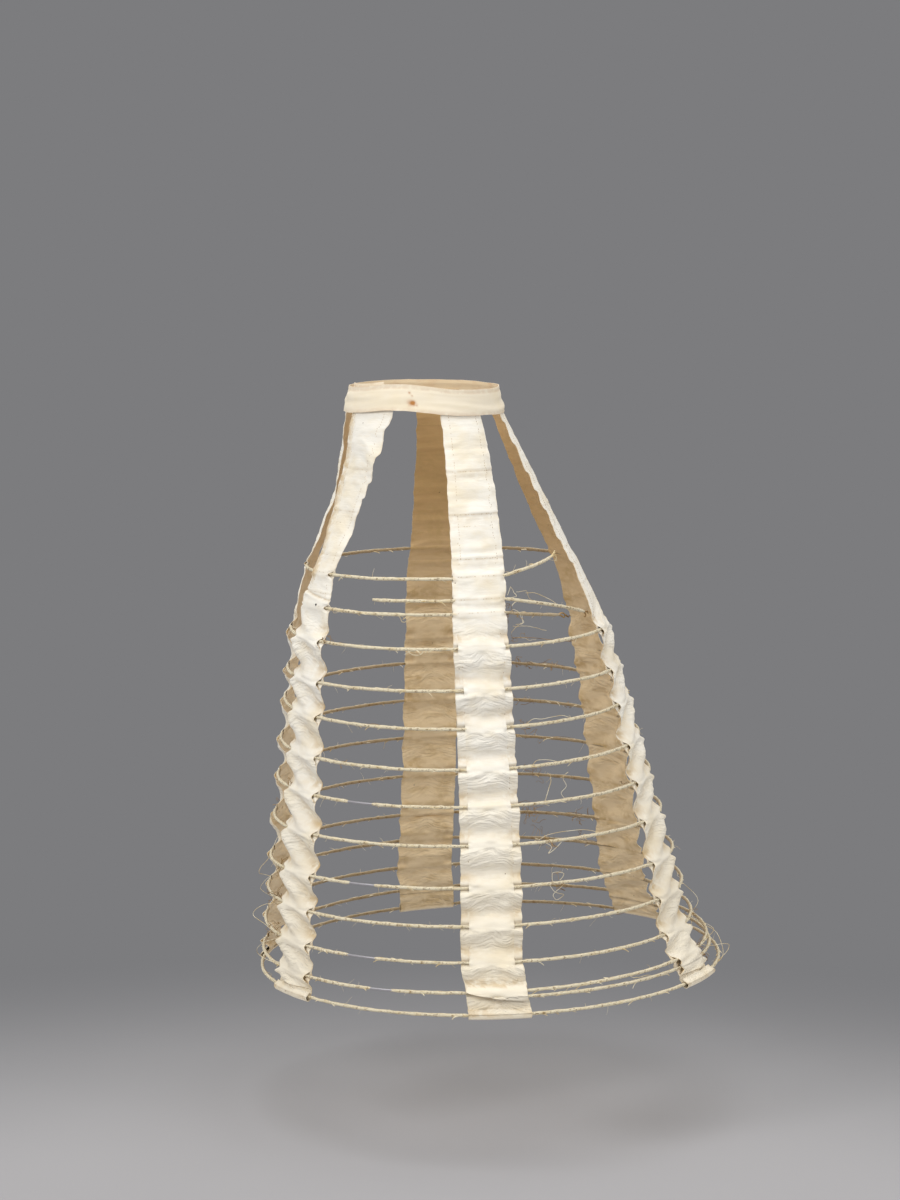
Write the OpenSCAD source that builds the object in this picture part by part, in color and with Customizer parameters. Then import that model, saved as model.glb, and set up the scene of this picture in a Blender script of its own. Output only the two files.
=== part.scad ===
// Child's crinoline cage: a cotton waistband, six pocketed cotton tapes and fifteen wire hoops.
// The origin is the middle of the waistband, +Z is up, -Y is the front and +X the wearer's left.
// Angles count from the centre front towards the wearer's left, and drops count down from the origin.

/* [Waistband] */
// Height of the band
band_h = 28; // [22:1:34]
// Outer radius at the top edge of the band
band_top_r = 83; // [78:0.5:86]
// Outer radius at the lower edge of the band
band_low_r = 89; // [86:0.5:94]
// Thickness of the doubled cotton
band_t = 2.2; // [1.6:0.1:3]
// Depth of the lengthwise creases in the outside of the band
crease = 0.4; // [0.1:0.1:0.8]
// Heights of the creases from the middle of the band
crease_z = [-4.5, 5.5]; // [-6:0.5:6]
// Half of the width of a crease
crease_w = 3; // [1:0.5:4]
// Angle at which the underlap leaves the inside of the band
lap_from = -6; // [-10:1:-4]
// Angle at which the underlap ends
lap_to = 47; // [30:1:60]
// Thickness of the underlap
lap_t = 1.6; // [1:0.1:2.4]
// Room between the tops of the tapes and the underlap
lap_gap = 1.2; // [0.9:0.1:2]
// Height that the underlap stands above the top edge of the band
lap_rise = 3.5; // [1:0.5:6]
// Width of the seam that joins the underlap to the band
lap_seam = 5; // [3:0.5:8]
// Distance of that seam from the underlap's end
lap_seam_in = 1.6; // [1:0.1:3]
// Distance of that seam from the band's lower edge
lap_seam_low = 7; // [5:0.5:9]
// Distance of that seam from the band's upper edge
lap_seam_high = 3.5; // [2:0.5:6]

/* [Hook and eye] */
// Angle of the fastening from the centre front
hook_angle = 72; // [66:1:84]
// Height of the hook below the middle of the band
hook_drop = 5; // [2:0.5:8]
// Radius of the hook's and the eye's wire
hook_wire_r = 0.5; // [0.3:0.05:0.7]
// Radius of the bend of the hook
hook_bend_r = 1.6; // [1.2:0.1:2.5]
// Length of the hook's legs
hook_leg = 7; // [4:0.5:10]
// Radius of the eye's loop
eye_r = 3; // [2:0.1:4]
// Distance between the hook and the eye along the band
eye_step = 14; // [12:1:20]

/* [Hoops] */
// Drop of the top hoop below the middle of the band
top_drop = 183; // [170:1:200]
// Distance of each other hoop below the one above it, down to the hem
hoop_steps = [20, 14, 35, 44, 35, 44, 42, 44, 46, 36, 36, 29, 5.5, 17.5]; // [5:0.5:60]
// Rise of each hoop towards the back, in degrees
hoop_tilt = [1, 1, 1, 1, 1, 1, 1, 1, 1, 1, 1, 1, 2, 1, 1.5]; // [-1:0.5:3]
// Fall of each hoop towards the wearer's left, in degrees
hoop_roll = [-1, 0, 0, 0, 0, 1.5, 1, 0, -1, -1.5, -0.5, 0, 0, 0, 0]; // [-2:0.5:2]
// Radius of the steel wire in each hoop
wire_r = 0.9; // [0.6:0.05:1.2]
// Thickness of the cotton thread wound round the wire
wrap_t = 0.7; // [0.4:0.05:1]
// Gap between the wire and its thread
wrap_gap = 0.05; // [0.02:0.01:0.1]
// Gap between the two ends of a whole hoop
joint_gap = 1.2; // [0.6:0.1:3]
// Angle of the second hoop's broken front end
front_break = 52; // [44:1:70]
// Angles of the free back ends of the top three hoops
back_break = [133.5, 148, 129]; // [120:0.5:150]
// Rise of the free back ends of the top three hoops, in degrees
back_rise = [8, -9, -7]; // [-14:0.5:12]
// Hoops whose thread has worn through, counted from 0
bare_hoop = [7, 9, 11, 12]; // [5:1:12]
// Angle at which each bare stretch starts
bare_from = [44, 45, 45, 51]; // [40:0.5:60]
// Angle at which each bare stretch ends
bare_to = [52.5, 53, 53, 56.5]; // [44:0.5:64]

/* [Cage] */
// Radius of the cage at the first whole hoop, at the last single hoop and at the hem
cage_radii = [175, 239, 257]; // [150:1:280]
// Distance of those three hoops' centres behind the waist's centre
cage_back = [27.5, 61, 75]; // [0:0.5:90]

/* [Tapes] */
// Thickness of one layer of cotton tape
tape_t = 0.6; // [0.4:0.05:0.8]
// Gap between the two layers of a tape where they are stitched together
stitch_gap = 0.3; // [0.2:0.05:0.4]
// Gap between the tops of the tapes and the inside of the band
seat_gap = 0.3; // [0.2:0.05:0.6]
// Gap between a hoop and the back layer of its pocket
pocket_gap = 1; // [0.8:0.05:1.2]
// Room between a hoop and the facing of its pocket
pocket_room = 1.9; // [1.6:0.1:2.5]
// Height of the top pocket and of the hem's casing
pocket_h = 11; // [10:0.5:12]
// Length of tape sewn inside the band
tape_tuck = 18; // [10:1:21]
// Drop of the hips, where the front tapes hang inwards
hip_drop = 110; // [80:1:140]
// Distance that the front tapes hang inwards at the hips
hip_sag = 7; // [0:0.5:9]
// Distance that the tapes puff out under the whole hoops
puff = 3.5; // [2:0.5:4]
// Drop of the crest of a puff below its hoop
crest_drop = 10; // [9:0.5:11]
// Depth of the tucks between the whole hoops
tuck = 6.5; // [3:0.5:8]
// Height of the deepest line of a tuck above the next hoop
tuck_rise = 9; // [8:0.5:10]
// Least run of cloth from a crest down to the next tuck, else the stretch hangs nearly straight
tuck_run = 11; // [10:1:12]
// Depth of the shallow tucks above the first whole hoop
tuck_top = 2; // [0.5:0.1:3]
// Number of shallow tucks between the band and the top hoop
tucks_over = 3; // [1:1:4]
// Width of the back layer that shows on each side of the facing
margin = 8; // [5:0.5:9]
// Gap between the band's lower edge and the top of the facing
facing_gap = 4; // [2:0.5:10]
// Length of the hem below the middle of the lowest hoop
hem_below = 5.2; // [4.8:0.1:6]
// Angle of the front tapes at the band, hips, 1st, 3rd, 4th and 9th hoop and hem
front_angle = [36, 26, 21.5, 19, 19.5, 22.5, 23]; // [15:0.5:40]
// Angle of the side tapes at the same places
side_angle = [110, 101.5, 96.5, 94, 92.5, 87, 82.5]; // [80:0.5:115]
// Angle of the back tapes at the same places
back_angle = [167.5, 165, 165.5, 163, 160, 150, 143]; // [140:0.5:170]
// Width of the front tapes at the same places
front_w = [62, 47, 42, 66, 67, 70, 68]; // [36:1:74]
// Width of the side tapes at the same places
side_w = [50, 57, 59, 60, 61, 65, 67]; // [44:1:72]
// Width of the back tapes at the same places
back_w = [34, 50, 57, 59, 62, 66, 70]; // [30:1:74]

/* [Hidden] */
cotton = [0.93, 0.88, 0.77];
facing_cotton = [0.96, 0.92, 0.83];
thread = [0.78, 0.69, 0.50];
steel = [0.52, 0.55, 0.60];
rusty = [0.52, 0.33, 0.20];

FRONT = 0;
SIDE = 1;
BACK = 2;
LEFT = 1;
RIGHT = -1;
round_fn = 160;
wire_fn = 24;

last_hoop = len(hoop_steps);
function sum_to(list, n) = n == 0 ? 0 : list[n - 1] + sum_to(list, n - 1);
hoop_drop = [for (i = [0:last_hoop]) top_drop + sum_to(hoop_steps, i)];
broken_hoops = len(back_break);
// The first whole hoops have lost their far stretch, and the lower hoop of the lowest pair is short
first_whole = broken_hoops;
last_single = last_hoop - 3;
pair_low = last_hoop - 1;
lost_hoops = [first_whole, first_whole + 1];
mid_hoop = 8;

band_low = band_h / 2;
hoop_r = wire_r + wrap_gap + wrap_t;
layer = tape_t + stitch_gap;
// Least distance between two hoops that are stitched apart
stitch_room = pocket_h + tape_t;
pocket_in = hoop_r + pocket_gap + tape_t / 2;
pocket_out = hoop_r + pocket_room + tape_t / 2;
half_pocket = pocket_h / 2;
seat_in = band_t + seat_gap + tape_t / 2;
lap_out = seat_in + tape_t / 2 + lap_gap;
// Share of a tuck's depth between two close hoops
tuck_close = 0.15;

station_drop = [band_low, hip_drop, hoop_drop[0], hoop_drop[2], hoop_drop[first_whole],
    hoop_drop[mid_hoop], hoop_drop[last_hoop]];
tape_angles = [front_angle, side_angle, back_angle];
tape_widths = [front_w, side_w, back_w];
hoop_indices = [for (i = [0:last_hoop]) i];

function stations(values) = [for (s = [0:len(station_drop) - 1]) [station_drop[s], values[s]]];
function per_hoop(values, list) = concat([[band_low, 0]], [for (i = list) [hoop_drop[i], values[i]]]);
// Hoops that pass through a tape: the short lower hoop of the pair doesn't reach the front
function pockets(kind) = [for (i = hoop_indices) if (kind != FRONT || i != pair_low) i];
function band_r(z) = band_low_r + (band_top_r - band_low_r) * (z + band_low) / band_h;

cage_drops = [hoop_drop[first_whole], hoop_drop[last_single], hoop_drop[last_hoop]];
r_table = concat([[-band_low, band_top_r - seat_in], [band_low, band_low_r - seat_in]],
    [for (c = [0:2]) [cage_drops[c], cage_radii[c]]]);
back_table = concat([[band_low, 0]], [for (c = [0:2]) [cage_drops[c], cage_back[c]]]);
tilt_tables = [for (kind = [FRONT, SIDE, BACK]) per_hoop(hoop_tilt, pockets(kind))];
roll_tables = [for (kind = [FRONT, SIDE, BACK]) per_hoop(hoop_roll, pockets(kind))];
sag_table = [[band_low, 0], [hip_drop, -hip_sag], [hoop_drop[0] - half_pocket, 0]];

function cage_r(d) = lookup(d, r_table);
function back_of(d) = lookup(d, back_table);
function tape_angle(kind, d) = lookup(d, stations(tape_angles[kind]));
function tape_width(kind, d) = lookup(d, stations(tape_widths[kind]));
function tape_sag(kind, d) = kind == FRONT ? lookup(d, sag_table) : 0;

// Point on a tape at a drop and an angle, off millimetres outside the line of the hoops
function spot(kind, d, a, off) =
    let (
        r = cage_r(d) + off,
        tilt = lookup(d, tilt_tables[kind]),
        roll = lookup(d, roll_tables[kind]),
        x = r * sin(a),
        y = -r * cos(a),
        up = y * sin(tilt)
    )
    [x * cos(roll) + up * sin(roll), back_of(d) + y * cos(tilt), -d - x * sin(roll) + up * cos(roll)];

function tuck_depth(i) = i < first_whole ? tuck_top : tuck;

// Rows [drop, offset] of the stitched stretch between hoop i and hoop j: a puff and a tuck
function tuck_rows(i, j) =
    let (
        top = hoop_drop[i],
        end = hoop_drop[j],
        gap = end - top,
        depth = tuck_depth(i),
        crest = [top + crest_drop, puff * depth / tuck],
        valley = [end - tuck_rise, -depth]
    )
    gap < stitch_room ? [] :
    gap < crest_drop + tuck_rise + tuck_run ? [[(top + end) / 2, -depth * tuck_close]] :
    [crest, (crest + valley) / 2, valley];

// Rows of the shallow tucks between the band and the top hoop
function over_rows() =
    let (
        rows = 2 * tucks_over + 1,
        top = band_low + facing_gap,
        step = (hoop_drop[0] - half_pocket - top) / (rows - 1)
    )
    [for (k = [0:rows - 1]) [top + k * step, k % 2 == 0 ? 0 : -tuck_top]];

function shifted(rows, by) = [for (r = rows) [r[0], r[1] + by]];

// Rows of the pockets and tucks from the n-th to the last listed hoop, on one side of the hoops
function pocket_rows(list, at_hoop, at_stitch) =
    [for (n = [0:len(list) - 1])
        each concat([[hoop_drop[list[n]], at_hoop]],
            n < len(list) - 1 ? shifted(tuck_rows(list[n], list[n + 1]), at_stitch) : [])];

// The back layer hangs from the band inside the hoops and turns up round the lowest hoop
function tape_rows(kind) =
    let (hem = hoop_drop[last_hoop])
    concat(
        [[band_low - tape_tuck, 0], [band_low, 0]],
        shifted(over_rows(), -layer / 2),
        pocket_rows(pockets(kind), -pocket_in, -layer / 2),
        [[hem + hem_below, 0], [hem, pocket_out], [hem - half_pocket, layer / 2]]
    );

// The facing covers the hoops from outside and ends above the turned-up hem
function facing_rows(kind) =
    let (rows = pocket_rows(pockets(kind), pocket_out, layer / 2))
    concat(shifted(over_rows(), layer / 2), [for (k = [0:len(rows) - 2]) rows[k]]);

// Unit vector across the rows at row k, on the hoops' side of the back layer
function across(rows, k) =
    let (
        before = rows[max(k - 1, 0)],
        after = rows[min(k + 1, len(rows) - 1)],
        along = (after - before) / norm(after - before)
    )
    [-along[1], along[0]];

function strip_columns(width, side) =
    side == 0 ? [-width / 2, -width / 2 + margin, 0, width / 2 - margin, width / 2]
              : [-width / 2 + margin, 0, width / 2 - margin];

function strip_points(kind, hand, rows, side, push) =
    [for (k = [0:len(rows) - 1])
        let (
            n = across(rows, k) * push,
            d = rows[k][0] + n[0],
            sag = tape_sag(kind, rows[k][0]),
            off = rows[k][1] + n[1] + sag,
            middle = hand * tape_angle(kind, rows[k][0]),
            r = cage_r(rows[k][0]) + sag
        )
        for (u = strip_columns(tape_width(kind, rows[k][0]), side))
            spot(kind, d, middle + u / r * 180 / PI, off)];

function strip_faces(rows, cols) =
    let (n = rows * cols)
    concat(
        [for (r = [0:rows - 2], c = [0:cols - 2])
            let (a = r * cols + c, b = a + 1, d = a + cols, e = d + 1)
            each [[a, b, e], [a, e, d], [n + a, n + e, n + b], [n + a, n + d, n + e]]],
        [for (c = [0:cols - 2])
            let (a = c, b = c + 1, d = (rows - 1) * cols + c, e = d + 1)
            each [[b, a, n + a], [b, n + a, n + b], [d, e, n + e], [d, n + e, n + d]]],
        [for (r = [0:rows - 2])
            let (a = r * cols, d = a + cols, b = a + cols - 1, e = b + cols)
            each [[a, d, n + d], [a, n + d, n + a], [e, b, n + b], [e, n + b, n + e]]]
    );

module strip(kind, hand, rows, side) {
    outer = strip_points(kind, hand, rows, side, tape_t / 2);
    inner = strip_points(kind, hand, rows, side, -tape_t / 2);
    polyhedron(concat(outer, inner), strip_faces(len(rows), len(outer) / len(rows)), convexity = 10);
}

module tape(kind, hand) {
    color(cotton) strip(kind, hand, tape_rows(kind), 0);
}

module facing(kind, hand) {
    color(facing_cotton) strip(kind, hand, facing_rows(kind), 1);
}

// Part of a ring of the given radius between two angles from the centre front
module arc_rod(r, from, to, rod_r, hollow_r = 0) {
    rotate([0, 0, from - 90])
        rotate_extrude(angle = to - from, $fn = round_fn)
            translate([r, 0])
                difference() {
                    circle(rod_r, $fn = wire_fn);
                    if (hollow_r > 0) circle(hollow_r, $fn = wire_fn);
                }
}

function degrees_of(length, d) = length / cage_r(d) * 180 / PI;

// Angle at which hoop i starts: inside a pocket, or at a break
function hoop_start(i) =
    let (d = hoop_drop[i])
    i == 0 ? -tape_angle(BACK, d) :
    i == 1 ? front_break :
    i == 2 ? tape_angle(FRONT, d) :
    i == pair_low ? tape_angle(SIDE, d) :
    len(search(i, lost_hoops)) > 0 ? -tape_angle(FRONT, d) :
    -tape_angle(BACK, d) + degrees_of(joint_gap / 2, d);

// Angle at which hoop i ends: the top three break at the mouth of the left side pocket
function mouth(i) =
    let (d = hoop_drop[i])
    tape_angle(SIDE, d) + degrees_of(tape_width(SIDE, d) / 2 - margin - joint_gap, d);
function hoop_end(i) =
    let (d = hoop_drop[i])
    i < broken_hoops ? mouth(i) - degrees_of(joint_gap / 2, d) :
    i == pair_low || len(search(i, lost_hoops)) > 0 ? 360 - tape_angle(BACK, d) :
    360 - tape_angle(BACK, d) - degrees_of(joint_gap / 2, d);

module hoop_frame(i) {
    d = hoop_drop[i];
    translate([0, back_of(d), -d]) rotate([hoop_tilt[i], hoop_roll[i], 0]) children();
}

// Lean of the cage's side at a drop, in degrees from the vertical
function lean(d) = atan((cage_r(d + 1) - cage_r(d - 1)) / 2);

// Free end of a broken hoop, bent up or down along the cage where it leaves the pocket
module free_end(i, rod_r, hollow_r = 0) {
    d = hoop_drop[i];
    a = mouth(i);
    outward = [sin(a), -cos(a), 0];
    pivot = cage_r(d) * outward;
    square_to_cage = outward * cos(lean(d)) + [0, 0, sin(lean(d))];
    translate(pivot)
        rotate(back_rise[i], square_to_cage)
            translate(-pivot)
                arc_rod(cage_r(d), a + degrees_of(joint_gap / 2, d), back_break[i], rod_r, hollow_r);
}

module hoop_wire(i) {
    color(steel) hoop_frame(i) {
        arc_rod(cage_r(hoop_drop[i]), hoop_start(i), hoop_end(i), wire_r);
        if (i < broken_hoops) free_end(i, wire_r);
    }
}

module hoop_cover(i) {
    r = cage_r(hoop_drop[i]);
    worn = search(i, bare_hoop);
    color(thread) hoop_frame(i) {
        if (len(worn) > 0) {
            arc_rod(r, hoop_start(i), bare_from[worn[0]], hoop_r, wire_r + wrap_gap);
            arc_rod(r, bare_to[worn[0]], hoop_end(i), hoop_r, wire_r + wrap_gap);
        } else {
            arc_rod(r, hoop_start(i), hoop_end(i), hoop_r, wire_r + wrap_gap);
        }
        if (i < broken_hoops) free_end(i, hoop_r, wire_r + wrap_gap);
    }
}

// Wall between two depths inside the outer face of the band, from one height to another
module band_wall(out, in, low, high, from, to) {
    rotate([0, 0, from - 90])
        rotate_extrude(angle = to - from, $fn = round_fn)
            polygon([[band_r(low) - out, low], [band_r(high) - out, high],
                [band_r(high) - in, high], [band_r(low) - in, low]]);
}

// The band is a doubled strip with two soft creases along it, whose inner end laps under its outer end
module waistband() {
    low = -band_low;
    color(cotton) {
        rotate_extrude($fn = round_fn)
            polygon(concat(
                [[band_r(low) - band_t, low], [band_r(low), low]],
                [for (z = crease_z) each [[band_r(z - crease_w), z - crease_w], [band_r(z) - crease, z],
                    [band_r(z + crease_w), z + crease_w]]],
                [[band_r(band_low), band_low], [band_r(band_low) - band_t, band_low]]));
        seam_from = lap_from + degrees_of(lap_seam_in, band_low);
        band_wall(band_t / 2, lap_out + lap_t / 2, low + lap_seam_low, band_low - lap_seam_high,
            seam_from, seam_from + degrees_of(lap_seam, band_low));
        band_wall(lap_out, lap_out + lap_t, low + lap_rise, band_low + lap_rise, lap_from, lap_to);
    }
}

// Place on the inside of the underlap or the band, facing inwards, along the band from the hook
module inside_band(step) {
    a = hook_angle + degrees_of(step, band_low);
    lie = hook_wire_r + 2 * seat_gap;
    slope = atan((band_low_r - band_top_r) / band_h);
    rotate([0, 0, a - 90])
        translate([band_r(-hook_drop) - band_t - lie, 0, -hook_drop])
            rotate([0, -slope, 0])
                children();
}

// A bent wire: two legs and a round bend, lying along the band
module waist_hook() {
    color(rusty) inside_band(0) {
        rotate([90, 0, 90])
            for (side = [-1, 1])
                translate([0, side * hook_bend_r, 0])
                    rotate([0, 90, 0]) cylinder(r = hook_wire_r, h = hook_leg, $fn = wire_fn);
        rotate([0, 90, 0])
            rotate([0, 0, 180])
                rotate_extrude(angle = 180, $fn = round_fn)
                    translate([hook_bend_r, 0]) circle(hook_wire_r, $fn = wire_fn);
    }
}

// A round wire loop for the hook
module waist_eye() {
    color(rusty) inside_band(eye_step)
        rotate([0, 90, 0])
            rotate_extrude($fn = round_fn)
                translate([eye_r, 0]) circle(hook_wire_r, $fn = wire_fn);
}

tape_names = ["front", "side", "back"];
function hand_name(hand) = hand == LEFT ? "left" : "right";
function tape_name(kind, hand) = str(tape_names[kind], "_", hand_name(hand), "_tape");
function facing_name(kind, hand) = str(tape_names[kind], "_", hand_name(hand), "_facing");
function hoop_name(i, piece) = str("hoop_", i < 9 ? "0" : "", i + 1, "_", piece);

waistband();
waist_hook();
waist_eye();
for (kind = [FRONT, SIDE, BACK], hand = [LEFT, RIGHT]) {
    tape(kind, hand);
    facing(kind, hand);
}
for (i = hoop_indices) {
    hoop_wire(i);
    hoop_cover(i);
}
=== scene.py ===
"""Looks of the crinoline cage: worn cotton, wound and frayed hoops, stitching, and a plain studio.

Sizes are in millimetres, as in the part, and become metres where a mesh is made. The origin is the middle
of the waistband, +Z is up, -Y is the front and +X the wearer's left. Angles count in degrees from the
centre front towards the wearer's left, and drops count down from the origin.
"""
import math
import random

import bpy
import numpy as np
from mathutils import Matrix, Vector


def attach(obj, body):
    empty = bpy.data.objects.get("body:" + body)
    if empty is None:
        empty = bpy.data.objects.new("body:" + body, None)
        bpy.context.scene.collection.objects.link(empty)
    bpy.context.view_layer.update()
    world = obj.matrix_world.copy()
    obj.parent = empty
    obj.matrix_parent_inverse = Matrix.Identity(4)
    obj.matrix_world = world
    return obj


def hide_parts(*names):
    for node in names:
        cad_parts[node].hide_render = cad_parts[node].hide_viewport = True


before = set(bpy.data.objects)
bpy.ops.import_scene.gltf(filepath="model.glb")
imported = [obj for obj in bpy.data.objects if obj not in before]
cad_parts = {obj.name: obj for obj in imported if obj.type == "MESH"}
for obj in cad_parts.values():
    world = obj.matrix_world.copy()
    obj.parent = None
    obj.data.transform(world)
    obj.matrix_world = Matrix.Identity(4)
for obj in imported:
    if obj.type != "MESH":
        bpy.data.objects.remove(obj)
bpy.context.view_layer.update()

MM = 0.001
SHARP = math.radians(65)

# Camera, at the photograph's place: its frame is 900 by 1200
FRAME_H = 1200
FOCAL_PX = 3491.6
SENSOR_H = 24.0
CAM_DISTANCE = 3.833
CAM_HEIGHT = 0.332
CAM_TURN = 8.75
CAM_YAW = 0.427
CAM_PITCH = 8.26

# Waistband
BAND_H = 28.0
BAND_LOW = BAND_H / 2
BAND_TOP_R = 83.0
BAND_LOW_R = 89.0
BAND_T = 2.0
LAP_FROM = -6.0
LAP_TO = 47.0
LAP_IN = 5.4
LAP_T = 1.4
LAP_RISE = 3.5
BAND_ROWS = 21
BAND_COLUMNS = 420
LAP_ROWS = 19
LAP_COLUMNS = 70

# Hoops, from the top one to the hem
HOOP_DROP = np.array([183, 203, 217, 252, 296, 331, 375, 417, 461, 507, 543, 579, 608, 613.5, 631])
HOOP_TILT = np.array([1, 1, 1, 1, 1, 1, 1, 1, 1, 1, 1, 1, 2, 1, 1.5])
HOOP_ROLL = np.array([-1, 0, 0, 0, 0, 1.5, 1, 0, -1, -1.5, -0.5, 0, 0, 0, 0])
LAST = len(HOOP_DROP) - 1
BROKEN = 3
FIRST_WHOLE = 3
LOST = (3, 4)
LAST_SINGLE = LAST - 3
PAIR_TOP = LAST - 2
PAIR_LOW = LAST - 1
MID_HOOP = 8
HOOP_R = 1.7
# The winding: how much thinner it is in a pocket and thicker where it shows, and the pitch of its turns
POCKET_THINNER = 0.08
SHOWN_THICKER = 0.24
WIND_PITCH = 0.9
RING_STEP = 2.9
HOOP_SIDES = 10
# Radius of the bare stretches of steel, which look thicker than the wire inside the winding
STEEL_R = 1.3
FRONT_BREAK = 52.0
BACK_BREAK = (136.0, 147.0, 129.0)
BACK_RISE = (8.0, -9.0, -7.0)
TIP_BEND = (2.0, -8.0, 0.0)
BARE = {7: (44.0, 52.5), 9: (45.0, 53.0), 11: (45.0, 53.0), 12: (51.0, 56.5)}

# Cage: radius and backward shift at the first whole hoop, the last single hoop and the hem
CAGE_RADII = (175.0, 239.0, 257.0)
CAGE_BACK = (27.5, 61.0, 75.0)
SEAT_IN = 2.8

# Tapes, at the band, hips, 1st, 3rd, 4th and 9th hoop and hem
FRONT, SIDE, BACK = range(3)
LEFT, RIGHT = 1, -1
KIND_NAMES = ("front", "side", "back")
HAND_NAMES = {LEFT: "left", RIGHT: "right"}
HIP_DROP = 110.0
HIP_SAG = 7.0
STATION_DROP = (BAND_LOW, HIP_DROP, HOOP_DROP[0], HOOP_DROP[2], HOOP_DROP[3], HOOP_DROP[MID_HOOP],
                HOOP_DROP[LAST])
TAPE_ANGLE = ((36, 26, 21.5, 19, 19.5, 22.5, 23),
              (110, 101.5, 96.5, 94, 92.5, 87, 82.5),
              (167.5, 165, 165.5, 163, 160, 150, 143))
TAPE_W = ((62, 47, 42, 66, 67, 70, 68),
          (50, 57, 59, 60, 61, 65, 67),
          (34, 50, 57, 59, 62, 66, 70))
CUT_W = 66.0
TAPE_T = 0.55
WEAVE = 0.75
LAYER = 0.8
POCKET_H = 11.0
HALF_POCKET = POCKET_H / 2
MARGIN = 8.0
TAPE_TUCK = 18.0
FACING_GAP = 4.0
ROW_STEP = 1.8
TAPE_COLUMNS = 31
FACING_COLUMNS = 27


def band_r(z):
    return BAND_LOW_R + (BAND_TOP_R - BAND_LOW_R) * (z + BAND_LOW) / BAND_H


CAGE_DROPS = [HOOP_DROP[FIRST_WHOLE], HOOP_DROP[LAST_SINGLE], HOOP_DROP[LAST]]
R_DROPS = [-BAND_LOW, BAND_LOW] + CAGE_DROPS
R_VALUES = [BAND_TOP_R - SEAT_IN, BAND_LOW_R - SEAT_IN] + list(CAGE_RADII)
BACK_DROPS = [BAND_LOW] + CAGE_DROPS
BACK_VALUES = [0] + list(CAGE_BACK)


def cage_r(d):
    return np.interp(d, R_DROPS, R_VALUES)


def back_of(d):
    return np.interp(d, BACK_DROPS, BACK_VALUES)


def pockets(kind):
    """Hoops that pass through a tape: the short lower hoop of the pair doesn't reach the front."""
    return [i for i in range(LAST + 1) if kind != FRONT or i != PAIR_LOW]


def turned(x, y, z, tilt, roll):
    """The point x, y, z turned by a hoop's tilt and then its roll, in degrees."""
    tilt = np.radians(tilt)
    roll = np.radians(roll)
    y_tilted = y * np.cos(tilt) - z * np.sin(tilt)
    z_tilted = y * np.sin(tilt) + z * np.cos(tilt)
    x_rolled = x * np.cos(roll) + z_tilted * np.sin(roll)
    z_rolled = -x * np.sin(roll) + z_tilted * np.cos(roll)
    return x_rolled, y_tilted, z_rolled


def on_cage(d, a, off, rise, tilt, roll):
    """Points at a drop and an angle, off millimetres outside the line of the hoops and rise above it."""
    a = np.radians(a)
    r = cage_r(d) + off
    x, y, z = turned(r * np.sin(a), -r * np.cos(a), rise + 0 * r * a, tilt, roll)
    return np.stack([x, back_of(d) + y, z - d], -1)


def spot(kind, d, a, off):
    """Points on a tape, turned as the hoops above and below them are."""
    listed = pockets(kind)
    drops = [BAND_LOW] + list(HOOP_DROP[listed])
    tilt = np.interp(d, drops, [0] + list(HOOP_TILT[listed]))
    roll = np.interp(d, drops, [0] + list(HOOP_ROLL[listed]))
    return on_cage(d, a, off, 0, tilt, roll)


def ring(i, a, off=0.0, rise=0.0):
    """Points on hoop i at angles a."""
    return on_cage(HOOP_DROP[i], a, off, rise, HOOP_TILT[i], HOOP_ROLL[i])


def degrees_of(length, d):
    return math.degrees(length / cage_r(d))


def tape_angle(kind, d):
    return np.interp(d, STATION_DROP, TAPE_ANGLE[kind])


def tape_width(kind, d):
    return np.interp(d, STATION_DROP, TAPE_W[kind])


def smoothstep(x, low, high):
    t = np.clip((x - low) / (high - low), 0, 1)
    return t * t * (3 - 2 * t)


def fall(x, low, high):
    """1 up to low, and smoothly down to 0 at high."""
    return 1 - smoothstep(x, low, high)


def bell(x, width):
    return np.exp(-(x / width) ** 2)


def noise(x, y, seed):
    """Smooth value noise from -1 to 1 on unit cells."""
    size = 64
    table = np.random.default_rng(seed).uniform(-1, 1, (size, size))
    x, y = np.broadcast_arrays(np.asarray(x, float), np.asarray(y, float))
    xi = np.floor(x).astype(int)
    yi = np.floor(y).astype(int)
    fx = smoothstep(x - xi, 0, 1)
    fy = smoothstep(y - yi, 0, 1)
    low = table[xi % size, yi % size] * (1 - fx) + table[(xi + 1) % size, yi % size] * fx
    high = table[xi % size, (yi + 1) % size] * (1 - fx) + table[(xi + 1) % size, (yi + 1) % size] * fx
    return low * (1 - fy) + high * fy


def smooth_curve(x, xs, ys):
    """Curve through the points that never swings past them."""
    xs = np.array(xs, float)
    ys = np.array(ys, float)
    h = np.diff(xs)
    s = np.diff(ys) / h
    m = np.zeros(len(xs))
    inner = s[:-1] * s[1:] > 0
    m[1:-1] = np.where(inner, 2 * s[:-1] * s[1:] / np.where(inner, s[:-1] + s[1:], 1), 0)
    k = np.clip(np.searchsorted(xs, x) - 1, 0, len(h) - 1)
    t = np.clip((x - xs[k]) / h[k], 0, 1)
    a = (1 + 2 * t) * (1 - t) ** 2
    b = t * (1 - t) ** 2
    c = t * t * (3 - 2 * t)
    e = t * t * (t - 1)
    return a * ys[k] + b * h[k] * m[k] + c * ys[k + 1] + e * h[k] * m[k + 1]


# Materials


def fill(tree, node, inputs):
    """Gives each input of a node its value, or the link that feeds it."""
    for key, value in inputs.items():
        if isinstance(value, bpy.types.NodeSocket):
            tree.links.new(value, node.inputs[key])
        else:
            node.inputs[key].default_value = value


def add(tree, kind, inputs=None, **props):
    made = tree.nodes.new(kind)
    for name, value in props.items():
        setattr(made, name, value)
    fill(tree, made, inputs or {})
    return made


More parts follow.
